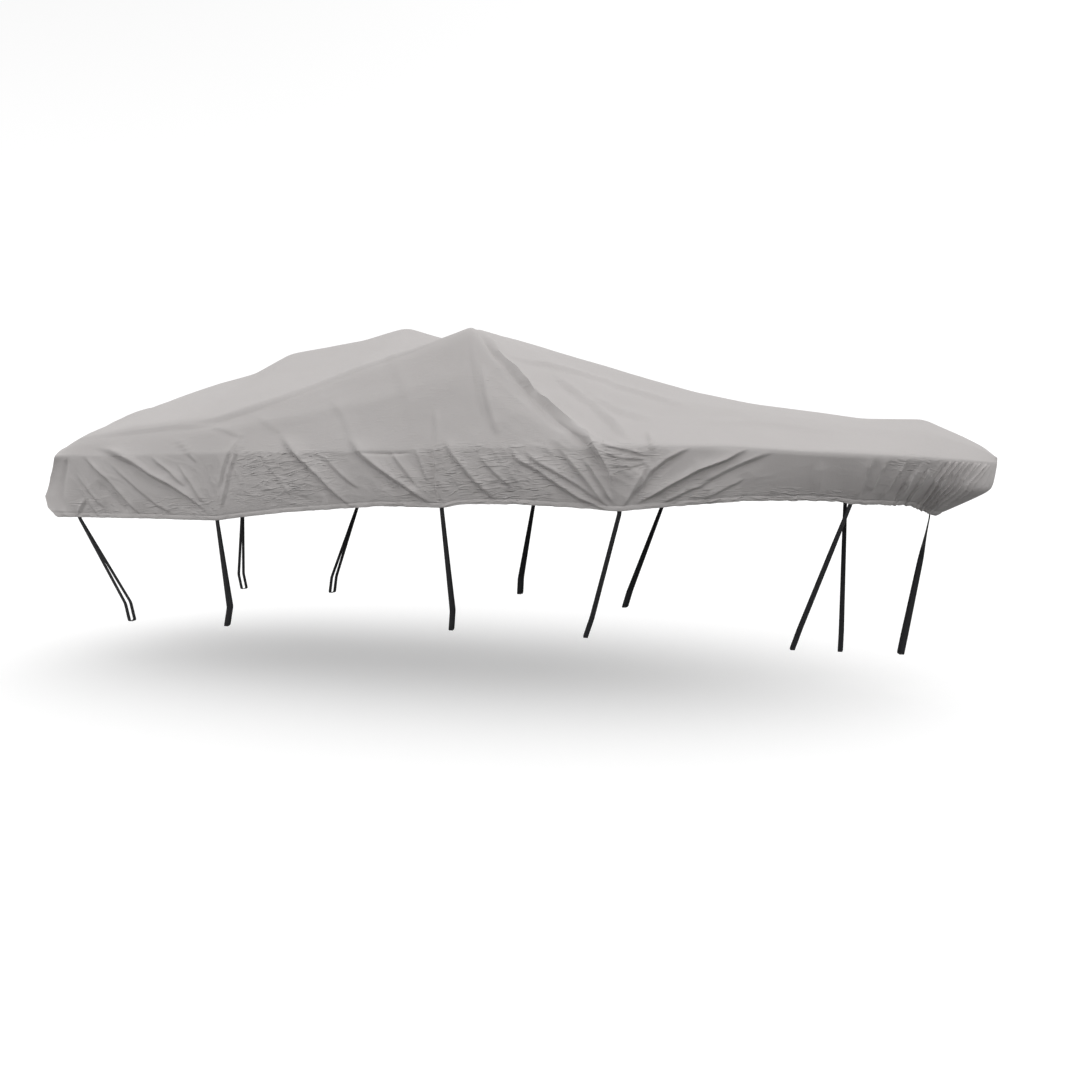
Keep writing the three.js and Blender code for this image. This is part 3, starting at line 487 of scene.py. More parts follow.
def crumple_rise(crumples, x, girth, seed):
    """Short ridged creases inside the crumpled places."""
    rise = np.zeros(np.broadcast(x, girth).shape)
    for number, (*place, angle, spacing, height) in enumerate(crumples):
        mx, mg, reach_x, reach_g = np.array(place) / 100
        spacing, height = spacing / 1000, height / 1000
        window = np.exp(-((x - mx) / reach_x) ** 2 - ((girth - mg) / reach_g) ** 2)
        if window.max() < LEAST_WINDOW:
            continue
        turn = math.radians(angle)
        along = (x * math.cos(turn) + girth * math.sin(turn)) / spacing
        off = (girth * math.cos(turn) - x * math.sin(turn)) / spacing
        bend = CRUMPLE_BEND * value_noise(along * BEND_SCALE, off * BEND_SCALE, seed + number)
        for octave, size in CREASE_OCTAVES:
            noise = value_noise(along * CREASE_STRETCH * octave + CREASE_SHIFT,
                                (off + bend) * octave, seed + CREASE_SEED + number)
            ridge = (1 - np.abs(2 * noise - 1)) ** CREASE_SHARPNESS
            rise += window * height * size * (ridge - CREASE_LEVEL)
    return rise


# Each kind of wave: how many to the metre along and across, where its noise starts, its rise.
WAVES = ((2.4, 3.0, 9, 5, 0.01), (6.5, 8.0, 3, 1, 0.0035))


def unevenness(x, girth, seed):
    """Slow, shallow waves that keep the cloth from looking like a board."""
    waves = 0
    for number, (along, across, shift_x, shift_g, rise) in enumerate(WAVES):
        noise = value_noise(x * along + shift_x, girth * across + shift_g, seed + number)
        waves = waves + rise * (noise - 0.5)
    return waves


# Places with fine crinkles: the middle (station, girth), the reach each way, and how strong.
CRINKLES = [
    (-0.38, -0.15, 0.32, 0.16, 1.0), (-0.3, -0.03, 0.34, 0.05, 0.7),
    (1.02, -0.17, 0.4, 0.17, 1.0), (0.48, -0.22, 0.24, 0.13, 0.7),
    (1.62, -0.05, 0.22, 0.11, 0.8), (2.5, -0.28, 0.48, 0.06, 0.9),
    (-1.1, -0.33, 0.28, 0.07, 0.7), (1.92, -0.24, 0.24, 0.08, 0.5),
    (0.8, -0.03, 0.3, 0.05, 0.6), (3.2, -0.05, 0.14, 0.1, 0.5),
    (1.1, 0.42, 0.3, 0.16, 0.25), (-1.7, -0.3, 0.2, 0.1, 0.5),
]
LEAST_CRINKLED = 0.06


def crinkled(x, girth):
    """From 0, where the cloth is smooth, to 1, where it is full of fine crinkles."""
    parts = [strong * np.exp(-((x - mx) / reach_x) ** 4 - ((girth - mg) / reach_g) ** 4)
             for mx, mg, reach_x, reach_g, strong in CRINKLES]
    return np.clip(LEAST_CRINKLED + sum(parts), 0, 1)


# Folds, crumpled places and the seed of the noise, for starboard (-1) and port (1).
SIDES = {-1: (FOLDS, STARBOARD_CRUMPLES, 100), 1: (PORT_FOLDS, PORT_CRUMPLES, 300)}
UNEVEN_SEED, EVEN_TIP = 90, 0.5


def cloth_relief(side, x, girth):
    """All that one side's cloth rises from its plain shape."""
    folds, crumples, seed = SIDES[side]
    off_tip = smooth(TIP - x, 0.0, EVEN_TIP)
    relief = fold_rise(folds, x, girth) + crumple_rise(crumples, x, girth, seed)
    return relief + unevenness(x, girth, seed + UNEVEN_SEED) * off_tip


def smooth_piece(name, points, faces, cut):
    """A smooth-shaded object, with each point's place on the flat cloth as its UV map."""
    mesh = bpy.data.meshes.new(name)
    mesh.from_pydata(points.tolist(), [], faces)
    mesh.polygons.foreach_set("use_smooth", np.ones(len(faces), bool))
    corner = np.empty(len(mesh.loops), int)
    mesh.loops.foreach_get("vertex_index", corner)
    mesh.uv_layers.new(name="cut").data.foreach_set("uv", cut[corner].ravel())
    piece = bpy.data.objects.new(name, mesh)
    scene.collection.objects.link(piece)
    return piece


SHARP_ANGLE = 60


def closed_sheet(name, outer, normals, thickness, run, rise, crumpled, flip=False):
    """A thin closed mesh: the outer grid, an inner one behind it, and a rim. run and rise are
    distances along and across the cloth, kept as a UV map for the weave and the stitches.
    crumpled says how full of fine crinkles each point is."""
    rows, columns = outer.shape[:2]
    count = rows * columns
    inner = outer - normals * np.broadcast_to(thickness, (rows, columns))[..., None]
    points = np.concatenate([outer.reshape(-1, 3), inner.reshape(-1, 3)])
    number = np.arange(count).reshape(rows, columns)
    quads = np.stack([number[:-1, :-1], number[1:, :-1], number[1:, 1:], number[:-1, 1:]], -1)
    quads = quads.reshape(-1, 4)
    if flip:
        quads = quads[:, ::-1]
    border = np.concatenate([number[0, :-1], number[:-1, -1], number[-1, :0:-1], number[:0:-1, 0]])
    after = np.roll(border, -1)
    rim = np.stack([border, after, after + count, border + count], -1)
    if flip:
        rim = rim[:, ::-1]
    faces = np.concatenate([quads, quads[:, ::-1] + count, rim])
    run, rise, crumpled = (np.broadcast_to(value, (rows, columns)).ravel()
                           for value in (run, rise, crumpled))
    flat = np.stack([run, rise], -1)
    piece = smooth_piece(name, points, faces.tolist(), np.concatenate([flat, flat]))
    crumple = piece.data.attributes.new("crumple", "FLOAT", "POINT")
    crumple.data.foreach_set("value", np.tile(crumpled, 2))
    piece.data.set_sharp_from_angle(angle=math.radians(SHARP_ANGLE))
    return piece


def seam_blend(normals, edge_normals, girth, reach=0.05):
    """Near a seam both panels share one direction of relief."""
    share = smooth(np.abs(girth), 0, reach)[..., None]
    return unit(edge_normals * (1 - share) + normals * share)


RAIL_ROWS, RAIL_CROWDING = 41, 1.15
TOP_ROWS, TOP_CROWDING = 38, 0.9


def deck_grid(stations):
    """The panel with its rounded rail edges, and the girth of each point from the nearer rail."""
    near_rail = 1 - SHOULDER + SHOULDER * np.linspace(1, 0, RAIL_ROWS) ** RAIL_CROWDING
    over_top = (1 - SHOULDER) * np.linspace(1, 0, TOP_ROWS)[1:] ** TOP_CROWDING
    half = np.concatenate([near_rail, over_top])
    across = np.concatenate([-half, half[-2::-1]])
    x = stations[:, None]
    points = plain_deck(x, across[None, :])
    girth = deck_girth(x, 1 - np.abs(across)[None, :])
    for side in (-1, 1):
        reach = rail_rounding(x)
        up, down = rail_directions(stations, side)
        own = (across * side > 0)[None, :]
        bend = np.where(own, np.clip(reach - girth, 0, None) ** 2 / (4 * reach), 0)
        points = points + (up + down)[:, None, :] * bend[..., None]
    return across, points, girth


def seam_normals(stations, side):
    """Along the rounded rail seam both panels face the same way."""
    up, down = rail_directions(stations, side)
    ahead, behind = (plain_deck(stations + step, float(side)) for step in (STEP, -STEP))
    along = unit(ahead - behind)
    return -side * unit(np.cross(along, up - down))


DECK_STEP = 0.0205
MIDDLE_BLEND = 0.25

deck_stations = rail_stations(DECK_STEP, DECK_SPACING)
across, deck_points, girth = deck_grid(deck_stations)
normals = grid_normals(deck_points)
middle_column = len(across) // 2
relief = np.zeros(girth.shape)
crumpled = np.zeros(girth.shape)
for side, columns in ((-1, slice(0, middle_column)), (1, slice(middle_column, None))):
    edge = seam_normals(deck_stations, side)[:, None, :]
    normals[:, columns] = seam_blend(normals[:, columns], edge, girth[:, columns])
    relief[:, columns] = cloth_relief(side, deck_stations[:, None], girth[:, columns])
    crumpled[:, columns] = crinkled(deck_stations[:, None], girth[:, columns])
# Over the middle line both halves' relief runs together.
other = relief[:, ::-1]
share = 0.5 * (1 - smooth(np.abs(deck_points[..., 1]), 0, MIDDLE_BLEND))
relief = relief * (1 - share) + other * share
deck_outer = deck_points + normals * relief[..., None]

run = run_along(deck_points[:, 0])[:, None]
deck_panel = closed_sheet("deck_panel_cloth", deck_outer, normals, SHEET_THICKNESS, run, girth,
                          crumpled)


class Shade:
    """A value inside a material: sums and products of it become nodes."""

    def __init__(self, tree, socket=None):
        self.tree, self.socket = tree, socket

    def node(self, kind, settings=None, inputs=None, output=0):
        made = self.tree.nodes.new(kind)
        for name, value in (settings or {}).items():
            if name == "stops":
                for place, colour in value[:-2]:
                    made.color_ramp.elements.new(place)
                for element, (place, colour) in zip(made.color_ramp.elements, value):
                    element.position, element.color = place, colour
            else:
                setattr(made, name, value)
        for name, value in (inputs or {}).items():
            if isinstance(value, Shade):
                self.tree.links.new(value.socket, made.inputs[name])
            else:
                made.inputs[name].default_value = value
        return Shade(self.tree, made.outputs[output])

    def math(self, operation, *values):
        return self.node("ShaderNodeMath", {"operation": operation}, dict(enumerate(values)))

    def __add__(self, other):
        return self.math("ADD", self, other)

    def __sub__(self, other):
        return self.math("SUBTRACT", self, other)

    def __mul__(self, other):
        return self.math("MULTIPLY", self, other)

    __radd__ = __add__
    __rmul__ = __mul__

    def mix(self, low, high):
        """A colour from low to high as this value goes from 0 to 1."""
        return self.node("ShaderNodeMix", {"data_type": "RGBA"}, {0: self, 6: low, 7: high}, 2)


def new_material(name, constants):
    """A material with one Principled shader, whose even values are set on its own sockets."""
    made = bpy.data.materials.new(name)
    made.use_nodes = True
    shader = made.node_tree.nodes["Principled BSDF"]
    for socket, value in constants.items():
        shader.inputs[socket].default_value = value
    return made, shader, Shade(made.node_tree)


def connect(shader, socket, value):
    value.tree.links.new(value.socket, shader.inputs[socket])


def cut_map(shade):
    """Distance along the cloth and across it, in metres."""
    cut = shade.node("ShaderNodeUVMap", {"uv_map": "cut"})
    return [shade.node("ShaderNodeSeparateXYZ", inputs={0: cut}, output=axis) for axis in (0, 1)]


CLOTH_SHADOW = (0.487, 0.464, 0.456, 1)
CLOTH_PALE = (0.553, 0.531, 0.525, 1)
STITCH_COLOUR = (0.47, 0.455, 0.45, 1)
THREAD = 0.0009
STITCH_LENGTH, STITCH_GAP, STITCH_WIDTH = 0.0045, 0.28, 0.0008
DECK_STITCH_ROWS = (0.005, 0.011)


def coated_polyester(name, stitch_rows):
    """Plain-woven polyester with a dull coating. stitch_rows are distances, in metres, from
    the edge where the second number of the cut map is zero."""
    made, shader, shade = new_material(name, {
        "Sheen Weight": 0.04, "Sheen Roughness": 0.45, "Specular IOR Level": 0.25})
    u, v = cut_map(shade)
    place = shade.node("ShaderNodeTexCoord", output=3)

    weave = shade.math("SINE", u * (math.pi / THREAD)) * shade.math("SINE", v * (math.pi / THREAD))
    slub = shade.node("ShaderNodeTexNoise", inputs={"Vector": place, "Scale": 260.0, "Detail": 3.0})
    # crinkles to the metre, along and across the cloth, each turned a little
    crinkle_place = shade.node("ShaderNodeCombineXYZ", inputs={
        0: u * 8.5 + v * 8.0, 1: v * 44.0 - u * 3.0})
    crinkle = shade.node("ShaderNodeTexNoise", {"noise_type": "RIDGED_MULTIFRACTAL"}, {
        "Vector": crinkle_place, "Scale": 1.0, "Detail": 3.0, "Roughness": 0.5, "Distortion": 1.5})
    crumple = shade.node("ShaderNodeAttribute", {"attribute_name": "crumple"}, output=2)
    soft = shade.node("ShaderNodeTexNoise", inputs={
        "Vector": place, "Scale": 16.0, "Detail": 3.0, "Roughness": 0.5, "Distortion": 0.5})
    cloud = shade.node("ShaderNodeTexNoise", inputs={
        "Vector": place, "Scale": 1.6, "Detail": 6.0, "Roughness": 0.6})

    stitches = None
    for distance in stitch_rows:
        line = shade.math("COMPARE", v, distance, STITCH_WIDTH)
        stitches = line if stitches is None else shade.math("MAXIMUM", stitches, line)
    dash = shade.math("GREATER_THAN", shade.math("FRACT", u * (1 / STITCH_LENGTH)), STITCH_GAP)
    stitches = stitches * dash

    tone = cloud * 0.75 + slub * 0.25
    colour = tone.mix(CLOTH_SHADOW, CLOTH_PALE)
    colour = stitches.mix(colour, STITCH_COLOUR)
    connect(shader, "Base Color", colour)
    connect(shader, "Roughness", 0.76 + cloud * 0.12)

    threads = weave + slub * 0.8 + stitches * 3.0
    under = {}
    for height, strength, distance in (
            (threads, 0.5, 0.00025), (soft, 0.5, 0.0025), (crinkle * crumple, 1.0, 0.013)):
        bump = shade.node("ShaderNodeBump", inputs={
            "Height": height, "Strength": strength, "Distance": distance, **under})
        under = {"Normal": bump}
    connect(shader, "Normal", bump)
    return made


deck_panel.data.materials.append(coated_polyester("deck panel cloth", DECK_STITCH_ROWS))
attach(deck_panel, "root")
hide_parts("deck_panel")

# ---------- side skirts ----------
# A skirt for each side, sewn to the deck panel along the rail and run round the stern
# corner. Its lower edge is a rolled hem, whose two rows of stitches pucker the cloth.

HEM_DEPTH, HEM_SWELL, HEM_FLARE = 0.027, 0.0026, 0.002
STITCH_HOLLOW, STITCH_HOLLOW_REACH = -0.002, 0.006
SKIRT_STITCH_ROWS = (0.0275, 0.0295)
ROWS_ABOVE_HEM, ROWS_OF_HEM = 60, 12
SKIRT_STEP = 0.0088
SKIRT_SPACING = (
    (-2.03, 1.05), (2.3, 1.05), (2.45, 2.0), (2.95, 2.0), (3.1, 1.0), (3.3, 0.55), (3.69, 0.5))


def skirt_rows(station, side):
    """Shares of the way down for each station: even rows, and close ones over the hem."""
    drop = np.linalg.norm(plain_skirt(station, 0, side) - plain_skirt(station, 1, side), axis=-1)
    above = np.linspace(0, 1, ROWS_ABOVE_HEM)[None, :] * (1 - HEM_DEPTH / drop[:, None])
    crowded = 1 + np.cos(np.linspace(0, np.pi, ROWS_OF_HEM)[1:])[None, :]
    hem = 1 - HEM_DEPTH * crowded / 2 / drop[:, None]
    return np.concatenate([above, hem], axis=1), drop


# Puckers along the hem: their spacing and how far up they reach, then how high they are. Their
# strength comes and goes over PUCKER_CHANGE.
WIDE_PUCKER, WIDE_REACH = 0.042, 0.06
FINE_PUCKER, FINE_REACH, FINE_SHARE = 0.017, 0.028, 0.5
PUCKER_RISE, PUCKER_CHANGE, PUCKER_LEAST, PUCKER_RANGE = 0.02, 0.45, 0.45, 0.75
PUCKER_SEED = 500


def puckers(run, to_hem, seed):
    """Small upright puckers that the hem's stitching draws into the cloth."""
    spacings = (WIDE_PUCKER, FINE_PUCKER, PUCKER_CHANGE)
    wide, fine, strong = (value_noise(run / spacing, 0 * run + 0.5, seed + number)
                          for number, spacing in enumerate(spacings))
    shape = (wide - 0.5) * np.exp(-to_hem / WIDE_REACH)
    shape = shape + FINE_SHARE * (fine - 0.5) * np.exp(-to_hem / FINE_REACH)
    return PUCKER_RISE * (PUCKER_LEAST + PUCKER_RANGE * strong) * shape


HEM_CALM, HEM_CALM_REACH, STEM_CALM = 0.55, 0.02, 0.1
LUMP_LEAST, LUMP_RANGE, LUMP_LENGTH, LUMP_DEPTH, LUMP_SEED = 0.45, 0.9, 0.033, 0.02, 540


def hem_roll(to_hem):
    """The rounded swelling of the rolled hem, from 0 at its edges to 1 along its middle."""
    return np.sqrt(np.clip(1 - ((to_hem - HEM_DEPTH / 2) / (HEM_DEPTH / 2)) ** 2, 0, 1))


def side_skirt(side):
    """One skirt with its folds, puckers and hem, and the grids that the next pieces are cut to."""
    stations = np.append(rail_stations(SKIRT_STEP, SKIRT_SPACING), TIP)
    down, drop = skirt_rows(stations, side)
    x = np.broadcast_to(stations[:, None], down.shape)
    points = plain_skirt(x, down, side)
    depth = down * drop[:, None]
    reach = rail_rounding(stations)
    up, along_down = rail_directions(stations, side)
    bend = np.clip(reach[:, None] - depth, 0, None) ** 2 / (4 * reach[:, None])
    points = points + (up + along_down)[:, None, :] * bend[..., None]
    normals = side * grid_normals(points)
    normals = seam_blend(normals, seam_normals(stations, side)[:, None, :], depth)
    run = np.broadcast_to(run_along(points[:, 0])[:, None], x.shape)
    to_hem = drop[:, None] - depth
    relief = cloth_relief(side, x, -depth) * (1 - HEM_CALM * np.exp(-to_hem / HEM_CALM_REACH))
    relief = relief + puckers(run, to_hem, PUCKER_SEED + side)
    relief = relief * smooth(TIP - x, 0, STEM_CALM)
    lumps = value_noise(run / LUMP_LENGTH, to_hem / LUMP_DEPTH, LUMP_SEED + side)
    swell = HEM_SWELL * hem_roll(to_hem) * (LUMP_LEAST + LUMP_RANGE * lumps)
    flare = HEM_FLARE * np.clip(1 - to_hem / HEM_DEPTH, 0, 1)
    stitched = STITCH_HOLLOW * np.exp(-((to_hem - HEM_DEPTH) / STITCH_HOLLOW_REACH) ** 2)
    outer = points + normals * (relief + swell + flare + stitched)[..., None]
    outer[:, 0] -= SEAM_GAP * unit(up - along_down)
    outer[-1, :, 1] = side * SEAM_GAP
    normals[-1, :, 1] = 0
    normals = unit(normals)
    name = "side_skirt_" + ("starboard" if side < 0 else "port") + "_cloth"
    piece = closed_sheet(name, outer, normals, SHEET_THICKNESS + 2 * swell, run, to_hem,
                         crinkled(x, -depth), flip=side < 0)
    return piece, stations, outer, normals, down


skirt_cloth = coated_polyester("side skirt cloth", SKIRT_STITCH_ROWS)
skirts = {}
for side, label in ((-1, "starboard"), (1, "port")):
    skirts[side] = side_skirt(side)
    piece = skirts[side][0]
    piece.data.materials.append(skirt_cloth)
    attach(piece, "root")
    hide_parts("side_skirt_" + label)

# ---------- transom skirt ----------
# The skirt across the stern. It is sewn to the deck panel's aft edge and to the side
# skirts' corners, bellies out over the motor well, and has the same rolled hem.

TRANSOM_FLAT, FLAT_POWER, CORNER_FADE, CORNER_CALM = 0.7, 3, 6, 8
TRANSOM_GAP = 1.5 * SEAM_GAP
TRANSOM_CRINKLED, TRANSOM_SEED, TRANSOM_UNEVEN_SEED, TRANSOM_NOISE_SHIFT = 0.3, 640, 700, 2.0
# Each row: how far to port of the middle and down from the rail, at both ends, then the
# half-width and the rise.
TRANSOM_FOLDS = [
    (-0.7, 0.06, -0.82, 0.56, 0.05, 0.014), (-0.38, 0.12, -0.3, 0.6, 0.06, 0.012),
    (-0.09, 0.06, -0.06, 0.62, 0.055, -0.009), (0.24, 0.1, 0.33, 0.62, 0.06, 0.013),
    (0.64, 0.06, 0.78, 0.56, 0.05, 0.013), (-0.56, 0.2, -0.52, 0.6, 0.035, -0.007),
    (0.48, 0.16, 0.56, 0.6, 0.035, -0.007), (0.05, 0.3, 0.14, 0.62, 0.03, 0.006),
]

top = deck_outer[0]
corner_down = skirts[-1][4][0]
across_rows = len(top)
down_rows = len(corner_down)
outer = np.zeros((across_rows, down_rows, 3))
for column, edge in enumerate(top):
    side = -1 if column < middle_column else 1
    corner = skirts[side][2][0]
    share = min(abs(edge[1]) / abs(corner[0, 1]), 1)
    hem = corner[-1] * (1, share, 1)
    down = corner_down[:, None]
    bulge = corner - (corner[0] + (corner[-1] - corner[0]) * down)
    taken = share ** FLAT_POWER
    weight = np.array([TRANSOM_FLAT + (1 - TRANSOM_FLAT) * taken, taken, taken])
    fall = (edge[2] - hem[2]) * corner_down
    rise = np.zeros(down_rows)
    for top_y, top_fall, foot_y, foot_fall, width, height in TRANSOM_FOLDS:
        along = np.clip((fall - top_fall) / (foot_fall - top_fall), 0, 1)
        rise += height * np.exp(-((edge[1] - top_y - (foot_y - top_y) * along) / width) ** 2)
    fade = np.sin(np.pi * corner_down) * (1 - share ** CORNER_FADE)
    outer[column] = edge + (hem - edge) * down + bulge * weight
    outer[column, :, 0] -= fade * rise
normals = grid_normals(outer)
to_hem = (1 - corner_down) * np.linalg.norm(outer[:, -1] - outer[:, 0], axis=-1)[:, None]
roll = HEM_SWELL * hem_roll(to_hem)
shifted = np.broadcast_to(outer[:, :1, 1] + TRANSOM_NOISE_SHIFT, to_hem.shape)
wander = puckers(shifted, to_hem, TRANSOM_SEED)
settled = 1 - np.abs(outer[:, :1, 1] / outer[0, 0, 1]) ** CORNER_CALM
waves = unevenness(outer[..., 1], outer[..., 2], TRANSOM_UNEVEN_SEED)
wander = wander + waves * np.sin(np.pi * corner_down)
outer = outer + normals * (roll + wander * settled)[..., None]
outer[:, 0, 2] -= TRANSOM_GAP
outer[0, :, 1] += SEAM_GAP
outer[-1, :, 1] -= SEAM_GAP
run = run_along(outer[:, 0])[:, None]
transom_skirt = closed_sheet("transom_skirt_cloth", outer, normals, SHEET_THICKNESS + 2 * roll, run,
                             to_hem, TRANSOM_CRINKLED)
transom_skirt.data.materials.append(skirt_cloth)
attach(transom_skirt, "root")
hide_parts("transom_skirt")

# ---------- straps ----------
# Eleven loops of black woven webbing. Both ends of each are sewn behind the hem, and the
# loop goes down round a rail of the trailer, which holds it taut.

WEBBING, WEBBING_WIDTH = 0.002, 0.025
LEG_SPACING, NECK_DROP = 0.0034, 0.026
RAIL_CORNER, TURN_LENGTH, PATH_STEP = 0.014, 0.42, 0.02
# Side, station of the seam on the hem, the loop's foot, the rail's width and depth, and how
# far the two legs part along the boat.
STRAPS = {
    "strap_stern_starboard": (-1, -1.885, (-1.72, 0.7, -1.94), 0.06, 0.12, 0.006),
    "strap_aft_starboard": (-1, -0.855, (-1.0, 0.7, -1.937), 0.06, 0.125, 0.014),
    "strap_mid_starboard": (-1, 0.615, (0.55, 0.7, -1.883), 0.06, 0.12, 0.008),
    "strap_fore_starboard": (-1, 1.625, (1.35, 0.54, -1.918), 0.06, 0.118, 0.016),
    "strap_bow_quarter_starboard": (-1, 2.937, (2.56, 0.14, -2.011), 0.05, 0.13, 0.006),
    "strap_stern_port": (1, -1.885, (-1.74, 0.7, -1.94), 0.06, 0.12, 0.006),
    "strap_aft_port": (1, -0.85, (-0.96, 0.7, -1.937), 0.06, 0.125, 0.01),
    "strap_mid_port": (1, 0.62, (0.58, 0.7, -1.883), 0.06, 0.12, 0.008),
    "strap_fore_port": (1, 1.64, (1.4, 0.54, -1.918), 0.06, 0.118, 0.012),
    "strap_bow_quarter_port": (1, 2.955, (2.855, 0.16, -2.07), 0.05, 0.13, 0.01),
}
STEM_STRAP = (-1, None, (3.2, 0.0, -2.03), 0.06, 0.12, 0.012)
STEM_STRAP_TOP = (3.334, 0.0, -1.163)


def loop_corners(top, down, inward, foot, width, depth, part, side):
    """The corners of a loop: down from the hem, round the rail and back up."""
    fx, fy, fz = foot
    outer_y, inner_y = side * (fy + width / 2), side * (fy - width / 2)
    back = top + inward * LEG_SPACING
    slant = (top[0] - fx) * depth / (top[2] - fz)
    return [
        top, top + down * NECK_DROP,
        np.array((fx + slant + part / 2, outer_y, fz + depth)),
        np.array((fx + part / 2, outer_y, fz)), np.array((fx - part / 2, inner_y, fz)),
        np.array((fx + slant - part / 2, inner_y, fz + depth)),
        back + down * NECK_DROP, back,
    ]


def straight_run(start, end, spacing):
    """Points from start to end, without start, about a spacing apart."""
    count = max(int(np.linalg.norm(end - start) / spacing), 1)
    return [start + (end - start) * step / count for step in range(1, count + 1)]


CURVE_SHARES, CURVE_ROOM = (0.2, 0.4, 0.6, 0.8, 1), 2.2


def rounded_path(corners, radius, spacing):
    """Straight runs joined by short curves."""
    path = [corners[0]]
    for before, corner, after in zip(corners[:-2], corners[1:-1], corners[2:]):
        into, out = before - corner, after - corner
        start = corner + unit(into) * min(radius, np.linalg.norm(into) / CURVE_ROOM)
        end = corner + unit(out) * min(radius, np.linalg.norm(out) / CURVE_ROOM)
        path += straight_run(path[-1], start, spacing)
        path += [start * (1 - t) ** 2 + 2 * corner * t * (1 - t) + end * t * t
                 for t in CURVE_SHARES]
    return np.array(path + straight_run(path[-1], corners[-1], spacing))


PICK_SPACING, END_SPACING = 0.0016, 0.0021
WEBBING_DARK, WEBBING_PALE = (0.003, 0.003, 0.004, 1), (0.016, 0.016, 0.019, 1)


def webbing_material():
    """Black polypropylene webbing, with its picks across and its ends along."""
    made, shader, shade = new_material("black webbing", {
        "Sheen Weight": 0.06, "Specular IOR Level": 0.25})
    u, v = cut_map(shade)
    picks = shade.math("ABSOLUTE", shade.math("SINE", u * (math.pi / PICK_SPACING)))
    ends = shade.math("ABSOLUTE", shade.math("SINE", v * (math.pi / END_SPACING)))
    fuzz = shade.node("ShaderNodeTexNoise", inputs={"Scale": 90.0, "Detail": 4.0})
    tone = picks * ends * 0.6 + fuzz * 0.4
    connect(shader, "Base Color", tone.mix(WEBBING_DARK, WEBBING_PALE))
    connect(shader, "Roughness", 0.55 + fuzz * 0.25)
    connect(shader, "Normal", shade.node("ShaderNodeBump", inputs={
        "Height": picks * 0.7 + ends * 0.5, "Strength": 0.7, "Distance": 0.0006}))
    return made


EDGE_STEP, EDGE_THICKNESS, FACE_SHARE = 0.0004, 0.8, 0.5


def webbing(name, path, hemway):
    """A flat band along a path. At its ends it lies along the hem, and further down it
    turns to face the rail."""
    length = run_along(path)
    along = unit(np.gradient(path, axis=0))
    from_end = np.minimum(length, length[-1] - length)
    turned = smooth(from_end, 2 * NECK_DROP, TURN_LENGTH)[:, None]
    wide = hemway * (1 - turned) + np.array((1.0, 0, 0)) * turned
    wide = unit(wide - along * np.sum(wide * along, axis=1, keepdims=True))
    face = np.cross(along, wide)
    half, thin = WEBBING_WIDTH / 2, WEBBING / 2
    near_edge, edge_thin, face_half = half - EDGE_STEP, thin * EDGE_THICKNESS, half * FACE_SHARE
    section = [(-half, 0), (-near_edge, edge_thin), (-face_half, thin), (face_half, thin),
               (near_edge, edge_thin), (half, 0), (near_edge, -edge_thin), (face_half, -thin),
               (-face_half, -thin), (-near_edge, -edge_thin)]
    rings = np.stack([path + wide * a + face * b for a, b in section], 1)
    count = len(section)
    number = np.arange(len(path) * count).reshape(len(path), count)
    after = np.roll(number, -1, axis=1)
    quads = np.stack([number[:-1], after[:-1], after[1:], number[1:]], -1).reshape(-1, 4)
    faces = quads.tolist() + [number[0, ::-1].tolist(), number[-1].tolist()]
    flat = np.stack([np.repeat(length, count), np.tile([a for a, b in section], len(path))], -1)
    return smooth_piece(name, rings.reshape(-1, 3), faces, flat), length[-1]


# Where a strap is sewn: how many rows up from the hem's edge, how many stations to each side
# count for its direction and for its clearance, and the gap behind the cloth.
SEAM_ROWS, CLEAR_ROWS, FACING_STATIONS, CLEAR_STATIONS, STRAP_GAP = 6, 3, 6, 5, 0.001

webbing_black = webbing_material()
for name, (side, station, foot, width, depth, part) in {**STRAPS, "strap_stem": STEM_STRAP}.items():
    if station is None:
        top_point = np.array(STEM_STRAP_TOP)
        down, inward, hemway = np.array([(0, 0, -1.0), (-1.0, 0, 0), (0, -1.0, 0)])
    else:
        _, stations, outer, normals, _ = skirts[side]
        near = int(np.argmin(np.abs(stations - station)))
        column = outer.shape[1] - SEAM_ROWS
        seam = outer[near, column]
        down = unit(outer[near, -1] - outer[near, column - SEAM_ROWS])
        outward = normals[near - FACING_STATIONS:near + FACING_STATIONS + 1, column].mean(axis=0)
        outward = unit(outward - down * np.dot(outward, down))
        beside = outer[near - CLEAR_STATIONS:near + CLEAR_STATIONS + 1, column - CLEAR_ROWS:] - seam
        deepest = (beside @ outward).min() - HEM_SWELL * 2 - SHEET_THICKNESS
        top_point = seam + outward * (deepest - STRAP_GAP - WEBBING / 2)
        inward = -outward
        hemway = unit(np.cross(down, outward))
        hemway = hemway if hemway[0] > 0 else -hemway
    corners = loop_corners(top_point, down, inward, foot, width, depth, part, side)
    path = rounded_path(corners, RAIL_CORNER, PATH_STEP)
    strap, length = webbing(name + "_webbing", path, hemway)
    strap.data.materials.append(webbing_black)
    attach(strap, "root")
    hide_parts(name)

# ---------- floor and light ----------
# A plain pale studio floor, a wide soft sky, a weak low sun from astern to starboard, and a
# small lamp off the stern.

FLOOR, FLOOR_SIZE = -2.26, 4000
SKY_LEAN, STERN_SKY, BOW_SKY = 1.7, 0.68, 1.42
SUN_AIM = (0.85, 0.5, -0.17)
LAMP_PLACE, LAMP_AIM = (-5.2, -2.4, -0.3), (-1.7, -1.0, -0.9)


def grey(level):
    return (level, level, level, 1)


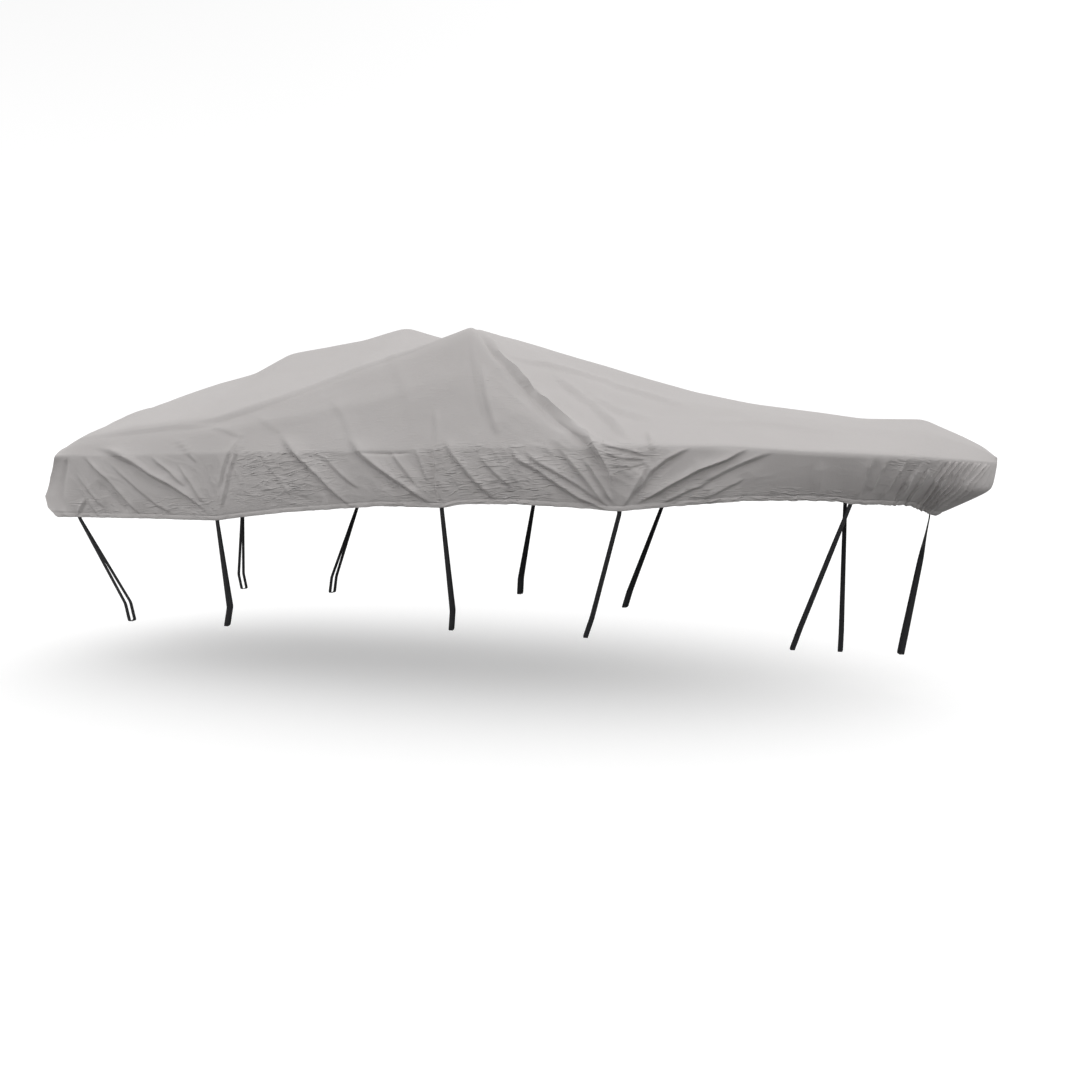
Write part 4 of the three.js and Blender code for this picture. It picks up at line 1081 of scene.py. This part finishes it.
bpy.ops.mesh.primitive_plane_add(size=FLOOR_SIZE, location=(0, 0, FLOOR))
floor = bpy.context.object
floor.name = "studio_floor"
floor.visible_diffuse = False
made, shader, shade = new_material("studio floor", {
    "Roughness": 1.0, "Specular IOR Level": 0.0, "Emission Color": grey(1),
    "Emission Strength": 0.1})
grain = shade.node("ShaderNodeTexNoise", inputs={"Scale": 0.4, "Detail": 2.0})
connect(shader, "Base Color", grain.mix(grey(0.98), grey(1)))
floor.data.materials.append(made)

world = bpy.data.worlds.new("studio")
world.use_nodes = True
scene.world = world
shade = Shade(world.node_tree)
direction = shade.node("ShaderNodeTexCoord", output=0)
height = shade.node("ShaderNodeSeparateXYZ", inputs={0: direction}, output=2)
to_bow = shade.node("ShaderNodeSeparateXYZ", inputs={0: direction}, output=0)
sky = shade.node("ShaderNodeValToRGB", {
    "stops": [(0.46, grey(0.1)), (0.5, grey(1)), (1, grey(1))]}, {0: height * 0.5 + 0.5})
# High up, the sky is dimmer towards the stern and brighter towards the bow.
lean = (height * height * to_bow * SKY_LEAN + 0.5).mix(grey(STERN_SKY), grey(BOW_SKY))
sky = shade.node("ShaderNodeMix", {"data_type": "RGBA", "blend_type": "MULTIPLY"},
                 {0: 1.0, 6: sky, 7: lean}, output=2)
world.node_tree.links.new(sky.socket, world.node_tree.nodes["Background"].inputs["Color"])

sun_data = bpy.data.lights.new("low_light", "SUN")
sun_data.energy = 0.3
sun_data.angle = math.radians(14)
sun = bpy.data.objects.new("low_light", sun_data)
sun.rotation_euler = Vector(SUN_AIM).to_track_quat("-Z", "Y").to_euler()
scene.collection.objects.link(sun)

lamp_data = bpy.data.lights.new("stern_light", "AREA")
lamp_data.shape = "RECTANGLE"
lamp_data.size, lamp_data.size_y = 2, 1.5
lamp_data.energy = 7
lamp = bpy.data.objects.new("stern_light", lamp_data)
lamp.location = LAMP_PLACE
lamp.rotation_euler = (Vector(LAMP_AIM) - lamp.location).to_track_quat("-Z", "Y").to_euler()
scene.collection.objects.link(lamp)
